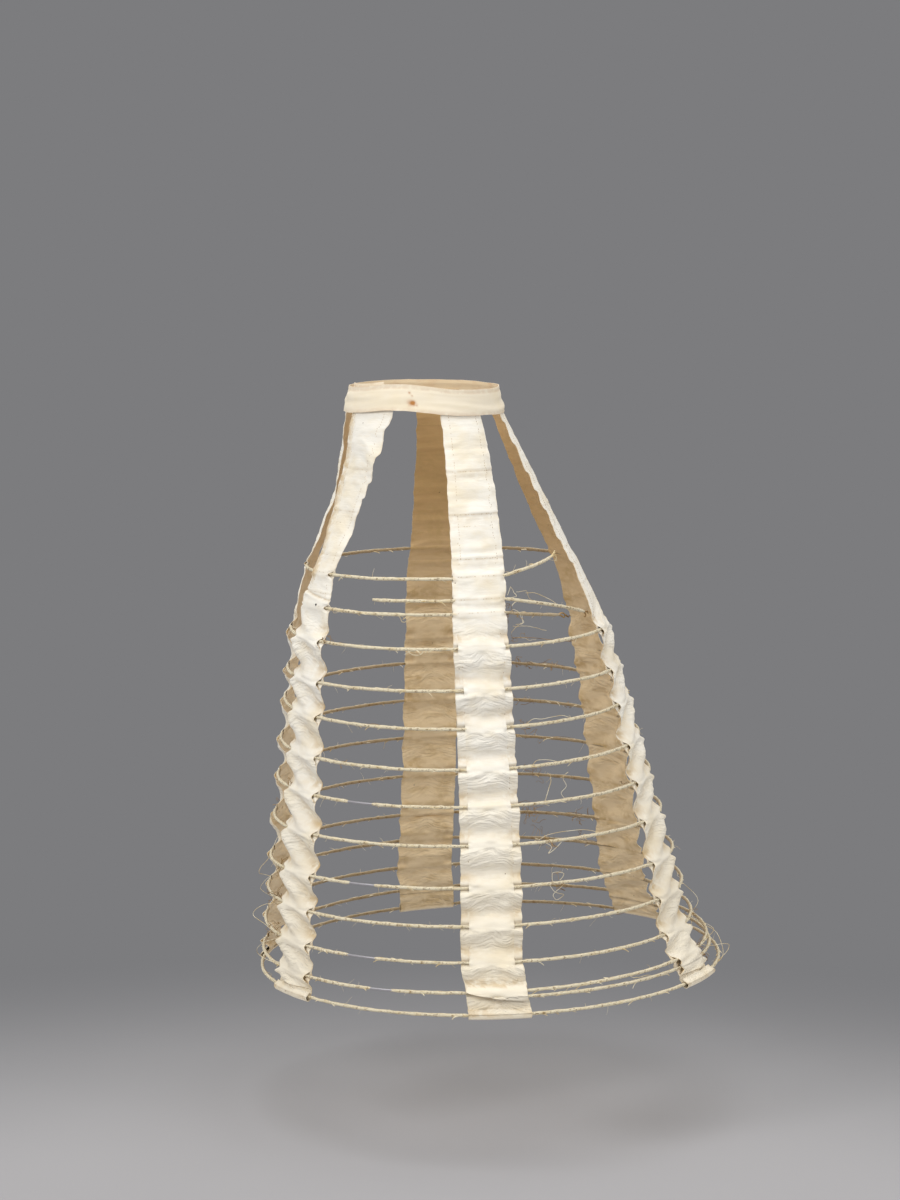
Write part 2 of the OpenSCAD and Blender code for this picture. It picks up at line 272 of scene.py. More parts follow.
def srgb(r, g, b):
    """A colour written as 0 to 255, as the scene's linear values."""
    parts = []
    for c in (r, g, b):
        c = c / 255
        parts.append(c / 12.92 if c <= 0.04045 else ((c + 0.055) / 1.055) ** 2.4)
    return tuple(parts) + (1.0,)


def mix(tree, fac, a, b):
    return add(tree, "ShaderNodeMix", {"Factor": fac, 6: a, 7: b}, data_type="RGBA").outputs[2]


def ramp(tree, fac, low, high):
    made = add(tree, "ShaderNodeMapRange", {"Value": fac, "From Min": low, "From Max": high},
               interpolation_type="SMOOTHSTEP")
    return made.outputs[0]


def calc(tree, operation, a, b):
    return add(tree, "ShaderNodeMath", {0: a, 1: b}, operation=operation).outputs[0]


def times(tree, a, b):
    return calc(tree, "MULTIPLY", a, b)


def attribute(tree, name, socket="Fac"):
    return add(tree, "ShaderNodeAttribute", attribute_name=name).outputs[socket]


def axis(tree, vector, number):
    return add(tree, "ShaderNodeSeparateXYZ", {0: vector}).outputs[number]


def clouds(tree, vector, scale, detail=3.0):
    made = add(tree, "ShaderNodeTexNoise", {"Vector": vector, "Scale": scale, "Detail": detail})
    return made.outputs["Fac"]


def streaks(tree, vector, factors, detail):
    """Clouds drawn out by a factor along each axis."""
    drawn = add(tree, "ShaderNodeVectorMath", {0: vector, 1: factors}, operation="MULTIPLY").outputs[0]
    return clouds(tree, drawn, 1.0, detail)


def bands(tree, vector, period, direction):
    """Sine ridges with the given period along one axis of the vector."""
    made = add(tree, "ShaderNodeTexWave", {"Vector": vector, "Scale": math.tau / 20 / period},
               wave_type="BANDS", bands_direction=direction)
    return made.outputs["Fac"]


def bump(tree, height, distance, strength, normal=None):
    inputs = {"Height": height, "Distance": distance, "Strength": strength}
    if normal is not None:
        inputs["Normal"] = normal
    return add(tree, "ShaderNodeBump", inputs).outputs[0]


def start_material(name):
    made = bpy.data.materials.new(name)
    made.use_nodes = True
    tree = made.node_tree
    return made, tree, tree.nodes["Principled BSDF"]


def cotton(name, pale, aged, lining, lining_low, soil, creased):
    """Plain-woven cotton: uneven ageing, soil and painted shade in the seams and hollows, a browner inside
    that is painted shade with stains and darker towards the top, weave and fine creases.
    """
    made, tree, shader = start_material(name)
    flat = attribute(tree, "cloth", "Vector")
    down = axis(tree, flat, 1)
    age = ramp(tree, clouds(tree, flat, 0.025, 4), 0.42, 0.75)
    stain = ramp(tree, streaks(tree, flat, (0.05, 0.12, 1.0), 5), 0.46, 0.7)
    colour = mix(tree, times(tree, age, 0.6), pale, aged)
    colour = mix(tree, times(tree, stain, 0.22), colour, aged)
    # Yellower towards the bottom of the tapes.
    colour = mix(tree, times(tree, ramp(tree, down, 300, 650), 0.45), colour, aged)
    # Inside colour: painted shade with stains, darker towards the top where shade falls.
    brown = mix(tree, ramp(tree, down, 120, 340), lining, lining_low)
    brown = mix(tree, times(tree, stain, 0.45), brown, soil)
    colour = mix(tree, attribute(tree, "lining"), colour, brown)
    patchy = ramp(tree, clouds(tree, flat, 0.16, 3), 0.25, 0.6)
    # Soil and painted shade from the mesh, laid on in patches.
    colour = mix(tree, times(tree, attribute(tree, "soil"), patchy), colour, soil)
    cells = add(tree, "ShaderNodeTexVoronoi", {"Vector": flat, "Scale": 0.05})
    pick = add(tree, "ShaderNodeSeparateColor", {0: cells.outputs["Color"]}).outputs[0]
    dots = times(tree, ramp(tree, cells.outputs["Distance"], 0.045, 0.025), ramp(tree, pick, 0.66, 0.7))
    colour = mix(tree, times(tree, dots, 0.8), colour, SPECK)
    slub = ramp(tree, streaks(tree, flat, (0.35, 3.0, 1.0), 2), 0.35, 0.75)
    colour = mix(tree, times(tree, slub, 0.08), colour, aged)
    crumple = attribute(tree, "crumple", "Vector")
    lines = times(tree, streaks(tree, crumple, (0.085, 0.34, 0.0), 2), axis(tree, crumple, 2))
    weave = calc(tree, "ADD", bands(tree, flat, WEAVE, "X"), bands(tree, flat, WEAVE, "Y"))
    normal = bump(tree, streaks(tree, flat, (0.05, 0.24, 1.0), 3), 0.0016, creased)
    normal = bump(tree, lines, 0.005, 0.6, normal)
    normal = bump(tree, weave, 0.0001, 0.3, normal)
    fill(tree, shader, {"Base Color": colour, "Normal": normal, "Roughness": 0.88,
                        "Specular IOR Level": 0.2, "Sheen Weight": 0.1, "Sheen Roughness": 0.6})
    return made


def winding(name, pale, straw, brown):
    """Cotton thread wound round a hoop: fine turns with painted shade in the grooves between them, worn
    brown patches, and an inner side browned with dirt and painted shade.
    """
    made, tree, shader = start_material(name)
    along = attribute(tree, "wound", "Vector")
    patches = ramp(tree, streaks(tree, along, (0.09, 0.6, 1.0), 3), 0.48, 0.78)
    worn = ramp(tree, streaks(tree, along, (0.3, 1.3, 1.0), 3), 0.54, 0.66)
    turns = bands(tree, along, WIND_PITCH, "X")
    colour = mix(tree, patches, pale, straw)
    colour = mix(tree, times(tree, worn, 0.8), colour, brown)
    # The side towards the cage's axis is browner: painted shade with dirt.
    colour = mix(tree, times(tree, attribute(tree, "lining"), 0.72), colour, brown)
    # Painted shade in the grooves between the turns.
    colour = mix(tree, times(tree, ramp(tree, turns, 0.35, 0.0), 0.35), colour, brown)
    normal = bump(tree, turns, 0.0004, 0.7)
    normal = bump(tree, clouds(tree, along, 0.8, 3), 0.0006, 0.5, normal)
    fill(tree, shader, {"Base Color": colour, "Normal": normal, "Roughness": 0.85,
                        "Specular IOR Level": 0.2, "Sheen Weight": 0.15, "Sheen Roughness": 0.5})
    return made


def loose_thread(name, pale, straw):
    made, tree, shader = start_material(name)
    place = add(tree, "ShaderNodeTexCoord").outputs["Object"]
    fade = ramp(tree, clouds(tree, place, 60, 2), 0.35, 0.65)
    normal = bump(tree, clouds(tree, place, 900, 2), 0.0003, 0.4)
    fill(tree, shader, {"Base Color": mix(tree, fade, pale, straw), "Normal": normal, "Roughness": 0.85,
                        "Specular IOR Level": 0.2})
    return made


def metal(name, clean, rust, rusted, low_rough, high_rough):
    """Thin iron or steel wire, with rust in patches over the given share of it."""
    made, tree, shader = start_material(name)
    place = add(tree, "ShaderNodeTexCoord").outputs["Object"]
    spots = ramp(tree, clouds(tree, place, 180, 5), 1.0 - rusted, 1.15 - rusted)
    fine = clouds(tree, place, 1400, 3)
    rough = add(tree, "ShaderNodeMapRange", {"Value": fine, "To Min": low_rough, "To Max": high_rough})
    normal = bump(tree, calc(tree, "ADD", fine, spots), 0.0002, 0.5)
    fill(tree, shader, {"Base Color": mix(tree, spots, clean, rust), "Normal": normal,
                        "Metallic": times(tree, calc(tree, "SUBTRACT", 1.0, spots), 0.55),
                        "Roughness": rough.outputs[0]})
    return made


SPECK = srgb(112, 82, 46)
# Inside colours, deep tan at the top and paler low down, are painted shade with stains. The soil colour
# serves for soil and painted shade alike.
TAPE_COTTON = cotton("tape_cotton", srgb(252, 248, 238), srgb(243, 228, 196), srgb(216, 180, 126),
                     srgb(246, 223, 184), srgb(204, 172, 116), 0.3)
BAND_COTTON = cotton("band_cotton", srgb(249, 238, 216), srgb(243, 227, 193), srgb(224, 194, 146),
                     srgb(224, 194, 146), srgb(190, 128, 66), 0.08)
WOUND_THREAD = winding("wound_thread", srgb(251, 241, 212), srgb(230, 209, 162), srgb(140, 106, 58))
FRAY_THREAD = loose_thread("fray_thread", srgb(246, 236, 208), srgb(214, 190, 142))
SEWING_THREAD = loose_thread("sewing_thread", srgb(206, 180, 132), srgb(150, 118, 72))
# A dark colour painted where a worn hole shows only shade.
HOLE_SHADE_PAINT = loose_thread("hole_shade_paint", srgb(62, 48, 36), srgb(40, 30, 24))
BROWN_THREAD = loose_thread("brown_thread", srgb(172, 138, 88), srgb(120, 90, 52))
STEEL = metal("worn_steel", srgb(184, 182, 187), srgb(120, 84, 54), 0.34, 0.3, 0.5)
RUSTED = metal("rusted_iron", srgb(120, 112, 106), srgb(126, 70, 34), 0.62, 0.5, 0.9)


# Meshes


def grid_faces(rows, cols, start=0, flip=False):
    r, c = np.meshgrid(np.arange(rows - 1), np.arange(cols - 1), indexing="ij")
    a = (start + r * cols + c).ravel()
    quads = np.stack([a, a + cols, a + cols + 1, a + 1], -1)
    return quads[:, ::-1] if flip else quads


def edge_faces(loop_a, loop_b):
    """Quads that join two rows of points, one above the other."""
    return np.stack([loop_a[:-1], loop_a[1:], loop_b[1:], loop_b[:-1]], -1)


def surface_normals(points):
    """Unit normals of a grid of points, on the side away from the cage's axis."""
    down = np.gradient(points, axis=0)
    over = np.gradient(points, axis=1)
    normals = np.cross(down, over)
    return normals / np.maximum(np.linalg.norm(normals, axis=-1, keepdims=True), 1e-9)


def rim_of(ids):
    """Point numbers once round the edge of a grid of them."""
    return np.concatenate([ids[0, :], ids[1:, -1], ids[-1, -2::-1], ids[-2::-1, 0]])


def slab(points, normals, thickness):
    """Closed sheet of a thickness round a grid of middle points: its points and faces, outer side first."""
    rows, cols = points.shape[:2]
    count = rows * cols
    ids = np.arange(count).reshape(rows, cols)
    outer = points + normals * thickness / 2
    inner = points - normals * thickness / 2
    rim = rim_of(ids)
    faces = np.concatenate([grid_faces(rows, cols), grid_faces(rows, cols, count, True),
                            edge_faces(rim, rim + count)])
    return np.concatenate([outer.reshape(-1, 3), inner.reshape(-1, 3)]), faces


def tube(points, radii, sides):
    """Round rod along points, closed at both ends: its points and faces."""
    points = np.asarray(points, float)
    rings = len(points)
    tangents = np.gradient(points, axis=0)
    tangents /= np.linalg.norm(tangents, axis=1, keepdims=True)
    steep = abs(tangents[:, 2]).max() > 0.95
    over = np.cross(tangents, (0.32, 0.93, 0.18) if steep else (0.0, 0.0, 1.0))
    over /= np.maximum(np.linalg.norm(over, axis=1, keepdims=True), 1e-9)
    up = np.cross(over, tangents)
    turn = np.arange(sides) * math.tau / sides
    radii = np.asarray(radii, float)
    if radii.ndim < 2:
        radii = np.broadcast_to(radii, rings)[:, None]
    circle = over[:, None, :] * np.cos(turn)[None, :, None] + up[:, None, :] * np.sin(turn)[None, :, None]
    made = points[:, None, :] + circle * radii[..., None]
    r, s = np.meshgrid(np.arange(rings - 1), np.arange(sides), indexing="ij")
    a = (r * sides + s).ravel()
    b = (r * sides + (s + 1) % sides).ravel()
    faces = np.stack([a, a + sides, b + sides, b], -1).tolist()
    faces.append(list(range(sides)))
    faces.append(list(range((rings - 1) * sides, rings * sides))[::-1])
    return made.reshape(-1, 3), faces


def put(name, data):
    """A new object in the scene."""
    made = bpy.data.objects.new(name, data)
    bpy.context.scene.collection.objects.link(made)
    return made


class Batch:
    """Points and faces of several closed shapes, gathered into one mesh."""

    def __init__(self):
        self.points = []
        self.faces = []
        self.values = {}
        self.count = 0

    def take(self, points, faces, **values):
        self.points.append(np.asarray(points, float))
        self.faces.extend([[int(v) + self.count for v in face] for face in faces])
        for name, value in values.items():
            self.values.setdefault(name, []).append(np.asarray(value, float))
        self.count += len(points)

    def rod(self, points, radii, sides):
        self.take(*tube(points, radii, sides))

    def piece(self, name, material, slot, nodes=()):
        """One mesh of all the shapes, which rides the root body and may replace nodes of the part."""
        mesh = bpy.data.meshes.new(name)
        points = np.concatenate(self.points)
        mesh.from_pydata((points * MM).tolist(), [], self.faces)
        for key, parts in self.values.items():
            data = np.concatenate(parts)
            vector = data.ndim == 2
            made = mesh.attributes.new(key, "FLOAT_VECTOR" if vector else "FLOAT", "POINT")
            made.data.foreach_set("vector" if vector else "value", data.ravel().astype(np.float32))
        mesh.shade_smooth()
        mesh.set_sharp_from_angle(angle=SHARP)
        mesh.update()
        mesh.materials.append(material)
        made = put(name, mesh)
        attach(made, "root")
        if nodes:
            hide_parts(*nodes)
        return made


# Tapes

# Sizes of the waves: puff under a hoop and tuck above the next, by tape. Most of it is a slanting swell on
# the front and back tapes. Then the open mouth by kind of tape
WAVES = {"front_left": (4.6, 6.6), "front_right": (3.0, 11.5), "side_left": (2.6, 4.0),
         "side_right": (2.6, 4.0), "back_left": (3.8, 5.0), "back_right": (2.0, 3.0)}
MOUTH = (1.2, 0.0, 1.0)
CREST_DROP = 8.5
TUCK_RISE = 13.0
SWELL = {"front_left": 4.0, "front_right": 5.5, "back_left": 4.4, "back_right": 2.6}
LEVEL_SHARE = 0.4
# Phase of the swell at the outer edge, and its slant over half the width, by kind of tape
SWELL_TURN = {FRONT: (0.17, 0.54), BACK: (0.1, 0.58)}
# Sewn lines across the upper part of the tapes, and the hem's casing
SEAMS = ((69.0, 1.0), (115.0, 1.0), (128.0, 0.25), (161.0, 0.9), (180.0, 0.5), (200.5, 0.7), (214.5, 0.4))
SEAM_SIZE = (0.55, 1.0, 0.4)
CASING_H = 4.6
CASING_STEPS = 13
UPTURN_STEPS = 6
CASING_OUT = (5.5, 3.0, 6.0)
# Offsets of the two layers from the line of the hoops, where a hoop lies between them
FACE_OUT = HOOP_R + 0.3
BACK_IN = HOOP_R + 0.45
# Drop of the facing's lower end at its front and back edges, and how far that end stands off
FACING_END = {"side_left": (607.0, 618.0, 2.2)}
PLAIN_END = (621.5, 622.5, 0.2)
FLAP_FROM = 603.0
# Bare edge beside the facing where it covers the tape, and how much more is bare at a hoop
BARE_EDGE = 1.2
NOTCH = 6.0
# Upper edges that are worn into steps: size of the steps and drop at which they end, by tape and edge
STEPPED = {("front_left", 1): (0.65, 130.0), ("front_right", 1): (0.8, 210.0),
           ("back_left", -1): (1.2, 210.0)}
UNSTEPPED = (0.1, 210.0)
STEP_H = 25.0
STEP_IN = 4.4
STEP_OUT = 1.6
# Slanting folds of the upper front tapes: size by hand, and drops where they set in and die out. Then the
# flutter of the right one's free edge
FOLD_SIZE = {LEFT: 3.2, RIGHT: 2.2}
FOLD_FROM = (20.0, 60.0)
FOLD_TO = (120.0, 190.0)
FLUTTER = 5.0
# Angle through which the left front tape's margin is rolled under
ROLL_BEND = math.radians(158)
# Distance of the left front tape's sewn pleat from its folded edge
PLEAT_IN = 9.5
# Drop of the crease across that tape where its fold opens out
CREASE_AT = 206.0
# Tapes that each broken hoop still passes through
STILL_IN = (("front_left", "front_right", "side_left", "side_right", "back_right"), ("side_left",),
            ("front_left", "side_left"))
# Extra width of the back tapes towards the middle of the back, and the drops over which it ends
BACK_WIDER = 5.0
WIDER_END = (560.0, 600.0)


class Tape:
    """One pocketed tape: where its cloth lies, at any drop and any place across it."""

    def __init__(self, kind, hand):
        self.kind = kind
        self.hand = hand
        self.name = KIND_NAMES[kind] + "_" + HAND_NAMES[hand]
        self.seed = 10 * kind + (1 if hand == LEFT else 2)
        self.hoops = pockets(kind)
        self.passing = [i for i in self.hoops if i >= BROKEN or self.name in STILL_IN[i]]
        self.folded = kind == FRONT and hand == LEFT
        self.wave_x, self.face_y, self.back_y = self.wave_points()

    def wave_points(self):
        """Drops, and offsets of the facing and the back layer there. Each hoop lies between the two layers,
        and the cloth puffs out under it and tucks in above the next one, uneven from hoop to hoop."""
        rng = random.Random(self.seed)
        level = 1.0 if self.kind == SIDE else LEVEL_SHARE
        puff, tuck = (level * size for size in WAVES[self.name])
        rows = [(-40.0, 0.0, 0.0), (HOOP_DROP[0] - 14, 0.2, 0.2)]
        for i, j in zip(self.hoops, self.hoops[1:]):
            top = HOOP_DROP[i]
            end = HOOP_DROP[j]
            gap = end - top
            size = (0.35 if i < FIRST_WHOLE else 1.0) * rng.uniform(0.8, 1.15)
            rise = TUCK_RISE * (0.5 if i == LAST_SINGLE else rng.uniform(0.75, 1.2))
            crest = puff * size
            valley = -tuck * size * rng.uniform(0.85, 1.1)
            rows.append((top, FACE_OUT, -BACK_IN) if i in self.passing else (top, 1.4, 0.6))
            if gap > CREST_DROP + TUCK_RISE + 6:
                rows.append((top + CREST_DROP * rng.uniform(0.85, 1.1), crest, crest))
                rows.append((end - rise, valley, valley))
            elif gap > 18:
                rows.append((top + 8, 1.0, 1.0))
                rows.append((end - 8, 1.0, 1.0))
            elif gap > POCKET_H:
                valley = -0.45 * tuck if i > LAST_SINGLE else 1.0
                rows.append((end - 0.45 * gap, valley, valley))
        rows.append((HOOP_DROP[LAST], FACE_OUT, -BACK_IN))
        rows.append((HOOP_DROP[LAST] + 20, 0.0, 0.0))
        return [list(column) for column in zip(*rows)]

    def swell(self, d, share):
        """Slanting waves of the front and back tapes: a crest starts under one hoop at the outer edge, and
        ends under the next hoop at the edge towards the side."""
        if self.kind == SIDE:
            return 0 * d
        hoops = HOOP_DROP[self.hoops]
        last = np.clip(np.searchsorted(hoops, d, side="right") - 1, 0, len(hoops) - 2)
        gap = hoops[last + 1] - hoops[last]
        t = np.clip((d - hoops[last]) / gap, 0, 1)
        sizes = np.random.default_rng(self.seed + 19).uniform(0.75, 1.2, len(hoops))[last]
        sizes = sizes * np.clip(gap / 40, 0.25, 1.0) * smoothstep(d, HOOP_DROP[2], HOOP_DROP[3] + 6)
        start, slant = SWELL_TURN[self.kind]
        turn = t - start - slant * (self.sideways(share) + 1) + 0.07 * noise(d / 50, 0.5, self.seed + 20)
        return SWELL[self.name] * sizes * np.sin(math.pi * t) ** 0.8 * np.cos(math.tau * turn)

    def below(self, d):
        """Distance below the last hoop above each drop."""
        hoops = HOOP_DROP[self.hoops]
        last = np.clip(np.searchsorted(hoops, d, side="right") - 1, 0, None)
        return np.where(d < hoops[0], 99.0, d - hoops[last])

    def tunnel(self, d, reach):
        """1 on a hoop's line, falling to 0 at reach."""
        away = np.min(np.abs(d[..., None] - HOOP_DROP[self.passing]), -1)
        return np.cos(np.clip(away / reach, 0, 1) * math.pi / 2) ** 2

    def sideways(self, share):
        """Place across the tape from -1 at its outer edge to 1 at the edge towards the side."""
        return share * self.hand * (1 if self.kind == FRONT else -1)

    def mouth(self, d, share):
        """How far the mouths of the pockets stand open at the facing's edges."""
        if self.kind == SIDE:
            return self.tunnel(d, 4.4)
        low = smoothstep(d, HOOP_DROP[2] + 6, HOOP_DROP[3] - 12)
        outer = smoothstep(-self.sideways(share), 0.0, 0.5)
        return self.tunnel(d - 1.6 * low, 3.6 + (3.6 + 5.0 * outer) * low) * (1 - 0.3 * outer * low)

    def bare(self, d):
        """Width of the back layer that shows beside the facing."""
        if self.kind != SIDE:
            return BARE_EDGE + NOTCH * self.tunnel(d, HALF_POCKET)
        low = 0.5 * smoothstep(d, HOOP_DROP[2] + 8, HOOP_DROP[3] - 8)
        low = low + 0.5 * smoothstep(d, HOOP_DROP[3] + 8, HOOP_DROP[4] - 12)
        low = low * fall(d, HOOP_DROP[LAST_SINGLE] + 8, HOOP_DROP[LAST_SINGLE] + 20)
        return BARE_EDGE + (MARGIN + 1 - BARE_EDGE) * low

    def inset(self, d, u):
        """Distance from the nearer side edge of the back layer."""
        return np.minimum(u - self.columns(d, -1.0, 0.0), self.columns(d, 1.0, 0.0) - u)

    def gathers(self, d, u):
        """Flat measure along which the wrinkles run, upturned like a roof, and how strong they are."""
        low = smoothstep(d, HOOP_DROP[2], HOOP_DROP[FIRST_WHOLE])
        under = self.below(d)
        strength = low * smoothstep(under, 1.5, 5) * fall(under, 16, 29)
        vee = d - 0.26 * np.abs(u) + 4.0 * noise(u / 13, d / 21, self.seed + 13)
        return vee, strength

    def layers(self, d, u, share):
        """Offsets of the facing and the back layer from the hoops' line: puffs, tucks and wrinkles."""
        seed = self.seed
        side = self.kind == SIDE
        low = smoothstep(d, HOOP_DROP[2], HOOP_DROP[FIRST_WHOLE])
        under = self.below(d)
        free = 1 - self.tunnel(d, HALF_POCKET)
        # The crest climbs to the hoop in the middle of the tape, where the wrinkles gather
        skew = share + 0.35 * noise(d / 40, 0.5, seed + 12)
        middle = 1 - np.clip(np.abs(skew), 0, 1) ** 1.4
        climb = 5.0 * middle * low * smoothstep(under, 0, 6) * fall(under, 9, 20)
        drag = 3.0 * noise(u / 21, d / 30, seed) + 1.6 * noise(u / 9, d / 18, seed + 1)
        at = d + climb + free * drag
        broad = noise(u / 24, d / 14, seed + 2) * (0.75 + 0.35 * low)
        if side:
            broad = broad + 0.9 * (1 - low) * noise(u / 40, d / 6, seed + 23)
        vee, gather = self.gathers(d, u)
        fine = 0.12 + 0.34 * gather * (0.4 + 0.6 * middle)
        wrinkles = noise(u / 14, vee / 5.0, seed + 3) * (0.46 + 0.5 * gather)
        wrinkles = wrinkles + noise(u / 7, vee / 3.1, seed + 4) * fine
        hollow = sum(bell(HOOP_DROP[i] - 10.5 - d, 4.0) for i in self.hoops[FIRST_WHOLE:])
        edge = smoothstep(np.abs(share), 0.45, 1.0)
        uneven = 0.55 + 0.45 * noise(np.sign(share) * 3.5, d / 28, seed + 5)
        shape = free * (broad + wrinkles) - 2.4 * hollow * edge * uneven
        pinch = bell(u - 4 * skew, 5.5) * smoothstep(under, 1.5, 4) * fall(under, 5, 12)
        shape = shape - (1.5 if side else 0.6) * low * pinch + self.swell(d, share)
        for k, (seam, size) in enumerate(SEAMS):
            line = seam + 0.9 * noise(u / 18, 0.5 + k, seed + 14)
            ridge = 0.5 * bell(d - line, 1.4) - 0.5 * bell(d - line - 2.6, 1.6)
            shape = shape + SEAM_SIZE[self.kind] * size * ridge
        if self.folded:
            shape = shape - self.groove(d, u)
        face = self.curve(at, self.face_y) + shape
        back = self.curve(at, self.back_y) + shape
        return (face if side else face + 1.6 * self.tunnel(d, 8.0)), back

    def from_fold(self, d, u):
        """Distance from the folded edge of the left front tape."""
        return u + tape_width(self.kind, d) / 2

    def crease(self, d, u):
        """Distance below the crease across that tape."""
        return d - CREASE_AT - 0.1 * u

    def groove(self, d, u):
        """Depth of the sewn pleat and the crease of that tape."""
        pleat = self.from_fold(d, u) - PLEAT_IN - 1.5 * noise(d / 40, 0.5, self.seed + 17)
        sewn = 2.4 * bell(pleat, 1.3) - 1.2 * bell(pleat + 4, 2.6)
        across = 1.2 * bell(self.crease(d, u), 1.2) - 0.8 * bell(self.crease(d, u) - 3, 2)
        return fall(d, HOOP_DROP[0] - 10, HOOP_DROP[1]) * sewn + across

    def curve(self, at, offsets):
        """The wave at the given drops, rounded off on the front and back tapes."""
        if self.kind == SIDE:
            return smooth_curve(at, self.wave_x, offsets)
        return sum(smooth_curve(at + s, self.wave_x, offsets) for s in (-7.5, -3.8, 0.0, 3.8, 7.5)) / 5

    def place(self, d, u, off):
        """Points at drop d, u millimetres across and off from the hoops' line, folds included."""
        sag = np.zeros_like(d)
        if self.kind == FRONT:
            sag = smooth_curve(d, [BAND_LOW, HIP_DROP, HOOP_DROP[0] - HALF_POCKET], [0, -HIP_SAG, 0])
            folds = FOLD_SIZE[self.hand] * smoothstep(d, *FOLD_FROM) * fall(d, *FOLD_TO)
            sag = sag + folds * noise((u - 0.7 * d) / 19, (u + d) / 80, self.seed + 15)
            if not self.folded:
                upper = smoothstep(d, 16, 40) * fall(d, HOOP_DROP[0] - 10, HOOP_DROP[1])
                rim = smoothstep(self.hand * -u / tape_width(self.kind, d), 0.22, 0.5)
                sag = sag + FLUTTER * upper * rim * (noise(d / 14, 0.5, self.seed + 18) - 0.2)
        if self.folded:
            u, off = self.roll_under(d, u, off)
        r = cage_r(d) + sag
        middle = self.hand * tape_angle(self.kind, d)
        return spot(self.kind, d, middle + np.degrees(u / r), off + sag)

    def roll_under(self, d, u, off):
        """The front margin of the left front tape is rolled under, down to the third hoop."""
        fold = -tape_width(self.kind, d) / 2
        bend = ROLL_BEND * fall(d, HOOP_DROP[1] + 2, HOOP_DROP[2] + 2)
        soft = 1 + 3 * smoothstep(d, HOOP_DROP[0] - 8, HOOP_DROP[1])
        bend = bend * smoothstep((fold - u) / soft, -0.8, 2.5)
        over = u - fold
        rolled = over < 0
        lift = np.where(rolled, over * np.sin(bend) + off * np.cos(bend), off)
        along = np.where(rolled, over * np.cos(bend) - off * np.sin(bend), over)
        return fold + along, lift

    def columns(self, d, share, inset):
        """Place across the tape for a share from -1 to 1 of its width, less an inset on both edges."""
        width = tape_width(self.kind, d)
        right = width / 2 - inset
        left = -right
        if self.kind == BACK:
            wider = BACK_WIDER * smoothstep(d, HOOP_DROP[2], HOOP_DROP[4]) * fall(d, *WIDER_END)
            right = right + (wider if self.hand == LEFT else 0)
            left = left - (wider if self.hand == RIGHT else 0)
        if self.folded:
            left = right - (np.maximum(CUT_W, width) - 2 * inset)
        return left + (right - left) * (share + 1) / 2

    def ragged(self, d, share, sewn):
        """Wavering of a cut edge, and the steps that some upper edges are worn into. The facing's edges
        follow those of the tape where it covers the tape, and waver less below."""
        sign = np.sign(share)
        edge = smoothstep(np.abs(share), 0.7, 1.0)
        wander = 0.7 * noise(d / 9, 4.5 * sign, self.seed + 6)
        wander = wander + 0.4 * noise(d / 2.6, 8.5 * sign, self.seed + 7)
        beat = (d / STEP_H + 0.7 * noise(d / 40, 2.5, self.seed + 8)) % 1.0
        steps = STEP_IN * smoothstep(beat, 0.0, 0.8) * fall(beat, 0.86, 1.0) - STEP_OUT
        right, right_end = STEPPED.get((self.name, 1), UNSTEPPED)
        left, left_end = STEPPED.get((self.name, -1), UNSTEPPED)
        size = np.where(sign > 0, right, left)
        ends = np.where(sign > 0, right_end, left_end)
        upper = fall(d, ends - 35, ends)
        calm = 0.5 * smoothstep(self.bare(d), BARE_EDGE, MARGIN) if sewn else 0.0
        return sign * edge * (1 - calm) * (wander + size * upper * steps)


def close_rows(first, last, hoops):
    """Drops of the rows of a tape, closer together by the hoops."""
    rows = [first]
    while rows[-1] < last:
        near = np.min(np.abs(HOOP_DROP[hoops] - rows[-1])) < 5.5
        rows.append(rows[-1] + (1.0 if near else ROW_STEP))
    return np.array(rows[:-1])


def run_along(points):
    """Length along the middle column of a grid of points, at each row."""
    middle = points[:, points.shape[1] // 2]
    return np.concatenate([[0], np.cumsum(np.linalg.norm(np.diff(middle, axis=0), axis=1))])


